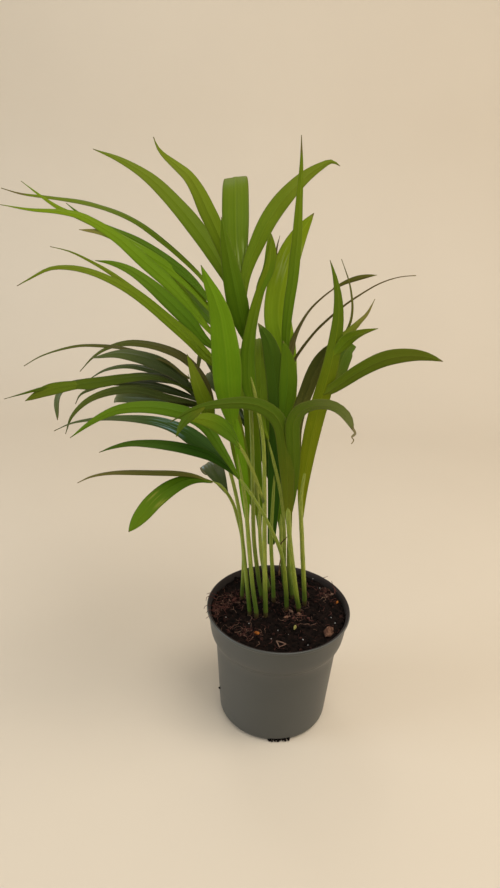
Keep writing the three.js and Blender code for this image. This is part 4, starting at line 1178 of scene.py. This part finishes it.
def parallel_veins():
    """Lengthwise veins of a blade, the keel over its rib, short streaks between them, and Glow, the mask of a
    painted highlight.
    """
    sheet, given, result = new_group(
        "parallel_veins", {"Float": ("Across", "Reach", "Veins")},
        {"Float": ("Vein", "Rib", "Edge", "Streak", "Glow", "Height")},
    )
    across, reach = given["Across"], given["Reach"]
    vein = sheet.maths("COSINE", across * given["Veins"]).steps(0.55, 1.0)
    rib = abs(across).steps(0.11, 0.03)
    edge = abs(across).steps(0.86, 1.0)
    streak = sheet.noise(sheet.vector(across * 9.0, reach * 0.05), 2.2, 4.0, 0.6)
    glow = sheet.noise(sheet.vector(across * 2.6, reach * 0.02), 1.5, 2.0, 0.5) + streak * 0.25
    height = vein * 0.35 + rib + streak * 0.5
    sheet.feed(result, Vein=vein, Rib=rib, Edge=edge, Streak=streak, Glow=glow, Height=height)
    return sheet.tree


def leaf_tissue():
    """Living leaf colour: soft lengthwise bands of light and shade, tip, rib, dry point and a painted
    highlight.
    """
    sheet, given, result = new_group(
        "leaf_tissue",
        {
            "Color": (
                "Light", "Shade", "Tip Colour", "Rib Colour", "Dry Colour", "Pale Colour", "Edge Colour",
            ),
            "Float": (
                "Pale", "Pale At", "Tip From", "Rough", "Tone", "Across", "Along", "Dry", "Vein", "Rib",
                "Edge", "Streak", "Glow",
            ),
            "Vector": ("Place",),
        },
        {"Color": ("Color",), "Float": ("Roughness",)},
    )
    along, rib_colour = given["Along"], given["Rib Colour"]
    mottle = sheet.noise(given["Place"], 45.0, 3.0, 0.6)
    band = sheet.maths("COSINE", given["Across"] * 7.5)
    shaded = given["Tone"] * 0.35 + mottle * 0.42 + given["Streak"] * 0.30 + band * 0.10
    tissue = sheet.blend(shaded.clamped(), given["Light"], given["Shade"])
    end = (along - given["Tip From"] + mottle * 0.2).steps(0.0, 0.5)
    tissue = sheet.blend(end * 0.85, tissue, given["Tip Colour"])
    # Painted highlight: a pale streak near Pale At, where Glow is high.
    beside = abs(along - given["Pale At"]).steps(0.12, 0.0)
    glint = beside * given["Glow"].steps(0.58, 0.80) * given["Pale"]
    tissue = sheet.blend(glint, tissue, given["Pale Colour"])
    tissue = sheet.blend(given["Vein"] * 0.10, tissue, rib_colour)
    tissue = sheet.blend(given["Rib"] * 0.20, tissue, rib_colour)
    tissue = sheet.blend(given["Edge"] * 0.35, tissue, given["Edge Colour"])
    tissue = sheet.blend(along.steps(0.16, 0.0) * 0.35, tissue, rib_colour)
    dry = (given["Dry"] + mottle * 0.3).steps(0.45, 0.9)
    rough = given["Rough"] + mottle * 0.12 + dry * 0.3
    sheet.feed(result, Color=sheet.blend(dry, tissue, given["Dry Colour"]), Roughness=rough)
    return sheet.tree


def fine_grit():
    """Specks of peat and dust on a surface: a mask that gathers where Amount is high."""
    sheet, given, result = new_group(
        "fine_grit", {"Vector": ("Place",), "Float": ("Scale", "Amount")}, {"Float": ("Mask", "Height")},
    )
    specks = sheet.noise(given["Place"], given["Scale"], 5.0, 0.7)
    mask = ((specks - (0.78 - given["Amount"] * 0.3)) * 14.0).clamped()
    sheet.feed(result, Mask=mask, Height=mask * specks)
    return sheet.tree


def new_material(name):
    """A material with its sheet of nodes and its Principled BSDF."""
    material = bpy.data.materials.new(name)
    material.use_nodes = True
    return material, Sheet(material.node_tree), material.node_tree.nodes["Principled BSDF"]


def leaf_material(name, groups):
    material, sheet, shader = new_material("leaf_" + name)
    values = sheet.leaf_values()
    lines = sheet.group(groups["veins"], Across=values["Across"], Reach=values.pop("Reach"), Veins=26.0)
    sheet.bump(shader, lines.pop("Height"), 0.00025)
    tissue = sheet.group(
        groups["tissue"], Dry_Colour=DRY_TISSUE, Edge_Colour=EDGE_TISSUE, Place=sheet.place(),
        **LOOKS[name], **values, **lines,
    )
    sheet.feed(shader, Base_Color=tissue["Color"], Roughness=tissue["Roughness"])
    shader.inputs["Specular IOR Level"].default_value = GLOSSIER.get(name, LEAF_GLOSS)
    return material


def stalk_material(groups):
    """Smooth green stalk with pale yellow streaks, partly its own and partly painted highlight, painted shade
    low down, and earth at its foot.
    """
    material, sheet, shader = new_material("stalk_green")
    values = sheet.leaf_values()
    along = values["Along"]
    lines = sheet.group(groups["veins"], Across=values["Across"], Reach=values["Reach"], Veins=12.0)
    # Pale yellow streaks: partly the stalk's own, partly painted highlight.
    streak = lines["Streak"].steps(0.42, 0.58)
    green = sheet.blend(streak, (0.075, 0.125, 0.004), (0.34, 0.36, 0.055))
    green = sheet.blend(values["Tone"] * 0.35, green, (0.06, 0.12, 0.003))
    # Painted shade: darker low down, towards the soil.
    green = sheet.blend(along.steps(0.22, 0.05) * 0.82, green, (0.03, 0.062, 0.006))
    patches = sheet.noise(sheet.place(), 320.0, 4.0, 0.6)
    earth = (along.steps(0.034, 0.008) + patches * 0.6).steps(0.62, 1.3)
    green = sheet.blend(earth, green, (0.04, 0.024, 0.01))
    sheet.feed(shader, Base_Color=green, Roughness=patches * 0.2 + 0.34)
    shader.inputs["Specular IOR Level"].default_value = 0.25
    sheet.bump(shader, lines["Height"], 0.0003)
    return material


def pot_material(groups):
    """Satin dark plastic with fine moulding grain, faint scuffs, peat dust on the rim, and darker inside
    under the rim.
    """
    material, sheet, shader = new_material("pot_plastic_grey")
    place = sheet.place()
    cloud = sheet.noise(place, 22.0, 3.0, 0.5)
    base = sheet.blend(cloud, (0.039, 0.041, 0.037), (0.057, 0.059, 0.053))
    stretched = sheet.flow(sheet.add("Mapping", Vector=place, Scale=(1.0, 1.0, 5.0)))
    scuffs = sheet.noise(stretched, 150.0, 6.0, 0.75).steps(0.68, 0.80)
    base = sheet.blend(scuffs * 0.30, base, (0.17, 0.17, 0.15))
    grit = sheet.group(groups["grit"], Place=place, Scale=420.0, Amount=0.25)
    base = sheet.blend(grit["Mask"] * 0.35, base, (0.06, 0.042, 0.03))
    split = sheet.add("SeparateXYZ", Vector=place)
    height = sheet.flow(split, 2)
    outwards = sheet.add("VectorMath", n0=sheet.vector(sheet.flow(split, 0), sheet.flow(split, 1)))
    outwards.operation = "LENGTH"
    radius = sheet.flow(outwards, "Value")
    rim_top = height.steps((POT_HEIGHT - 4.5) * MM, (POT_HEIGHT - 0.5) * MM)
    rim_dust = rim_top * radius.steps((RIM_RADIUS - 0.2) * MM, (RIM_RADIUS - 1.3) * MM)
    # The inner wall under the rim is darkened to the peat's brown.
    slope = (COLLAR_TOP_RADIUS - COLLAR_FOOT_RADIUS) / (POT_HEIGHT - COLLAR_FOOT_HEIGHT)
    wall_foot = (COLLAR_FOOT_RADIUS - slope * COLLAR_FOOT_HEIGHT - POT_WALL / 2) * MM
    inwards = height * slope + wall_foot - radius
    inside = height.steps((POT_HEIGHT - 16) * MM, (POT_HEIGHT - 10) * MM) * inwards.steps(0.0, 0.3 * MM)
    # Dust on the rim and the darker inner wall, broken up by fine noise.
    dust = rim_dust * 0.9 + inside + sheet.noise(place, 300.0, 4.0, 0.7) * 0.5
    darkened = dust.steps(0.55, 1.1)
    base = sheet.blend(darkened, base, (0.014, 0.008, 0.006))
    sheet.feed(shader, Base_Color=base, Roughness=cloud * 0.12 + 0.36 + scuffs * 0.15 + darkened * 0.55)
    sheet.bump(shader, sheet.noise(place, 1500.0, 2.0, 0.5) * 0.5 + scuffs * -0.4, 0.0001, 0.4)
    return material


def earthy_material(name, groups):
    """Peat, bark, fibre or husk: two browns broken up at the grain's size, with specks of grit."""
    dark, light = EARTHS[name]
    material, sheet, shader = new_material("earth_" + name)
    place = sheet.place()
    grains = sheet.noise(place, 260.0, 6.0, 0.65)
    base = sheet.blend(grains.steps(0.38, 0.66), dark, light)
    grit = sheet.group(groups["grit"], Place=place, Scale=780.0, Amount=0.3)
    base = sheet.blend(grit["Mask"] * 0.35, base, light)
    sheet.feed(shader, Base_Color=base, Roughness=0.92 - grains * 0.15)
    shader.inputs["Specular IOR Level"].default_value = 0.08
    sheet.bump(shader, grains + grit["Height"], 0.0006, 0.8)
    return material


def floor_paint():
    material, sheet, shader = new_material("studio_floor_paint")
    cloud = sheet.noise(sheet.place(), 3.0, 3.0, 0.5)
    paint = sheet.blend(cloud, (0.575, 0.5, 0.398), (0.62, 0.545, 0.44))
    sheet.feed(shader, Base_Color=paint)
    shader.inputs["Roughness"].default_value = 0.85
    return material


def make_materials():
    groups = {"veins": parallel_veins(), "tissue": leaf_tissue(), "grit": fine_grit()}
    MATERIALS.update({name: leaf_material(name, groups) for name in LOOKS})
    MATERIALS.update({name: earthy_material(name, groups) for name in EARTHS})
    MATERIALS.update(stalk=stalk_material(groups), pot=pot_material(groups), floor=floor_paint())


# ---- Camera, floor and lights ----
LIGHT_TARGET = Vector((0.0, 0.0, 0.22))


def studio_camera():
    data = bpy.data.cameras.new("studio_camera")
    data.sensor_fit = "VERTICAL"
    data.sensor_height = 36
    data.lens = FOCAL * data.sensor_height / PICTURE_HEIGHT
    camera = bpy.data.objects.new("studio_camera", data)
    axes = Matrix((PICTURE_RIGHT, PICTURE_UP, -FORWARD)).transposed()
    camera.matrix_world = Matrix.Translation(EYE * MM) @ axes.to_4x4()
    bpy.context.scene.collection.objects.link(camera)
    bpy.context.scene.camera = camera


def studio_floor():
    """A pale floor that sweeps up behind the plant."""
    half_width, front, bend, bend_radius, top = 6000, -6000, 620, 500, 2600
    course = [(front, 0), (bend, 0)]
    for k in range(1, 13):
        angle = math.pi / 2 * k / 12
        course.append((bend + bend_radius * math.sin(angle), bend_radius * (1 - math.cos(angle))))
    course.append((bend + bend_radius, top))
    points = [Vector((x, y, z)) for y, z in course for x in (-half_width, half_width)]
    faces = [[2 * k, 2 * k + 1, 2 * k + 3, 2 * k + 2] for k in range(len(course) - 1)]
    skin = Skin()
    skin.add(points, faces, "floor")
    skin.make("studio_floor")


def area_light(name, place, size, power, tint):
    data = bpy.data.lights.new(name, "AREA")
    data.size = size
    data.energy = power
    data.color = tint
    light = bpy.data.objects.new(name, data)
    light.location = place
    light.rotation_euler = (Vector(place) - LIGHT_TARGET).to_track_quat("Z", "Y").to_euler()
    bpy.context.scene.collection.objects.link(light)


def studio_light():
    area_light("key_light", (0.45, -0.35, 1.6), 0.9, 15.0, (1.0, 0.96, 0.90))
    area_light("front_light", (0.15, -1.5, 0.75), 1.0, 7.0, (1.0, 0.96, 0.89))
    area_light("left_light", (-1.4, -0.30, 0.42), 0.7, 11.0, (0.76, 0.88, 1.0))
    area_light("right_light", (1.3, 0.0, 0.5), 0.8, 7.0, (1.0, 0.88, 0.72))
    area_light("back_light", (-0.35, 1.05, 1.35), 0.5, 3.5, (0.95, 0.97, 1.0))
    world = bpy.data.worlds.new("studio_world")
    world.use_nodes = True
    background = world.node_tree.nodes["Background"]
    background.inputs["Color"].default_value = (1.0, 0.93, 0.83, 1.0)
    background.inputs["Strength"].default_value = 0.44
    bpy.context.scene.world = world
    bpy.context.scene.view_settings.view_transform = "Standard"


# ---- The potted palm ----
make_materials()
studio_camera()
studio_floor()
studio_light()
nursery_pot()
peat_bed()
peat_crumbs()
root_fibres()
perlite_grains()
bark_chips()
seed_husk()
dry_twigs()
for order, (stem_name, stem_plan) in enumerate(STEMS.items()):
    leafy_shoot(stem_name, stem_plan, FIRST_SEED + order)

bpy.context.view_layer.update()
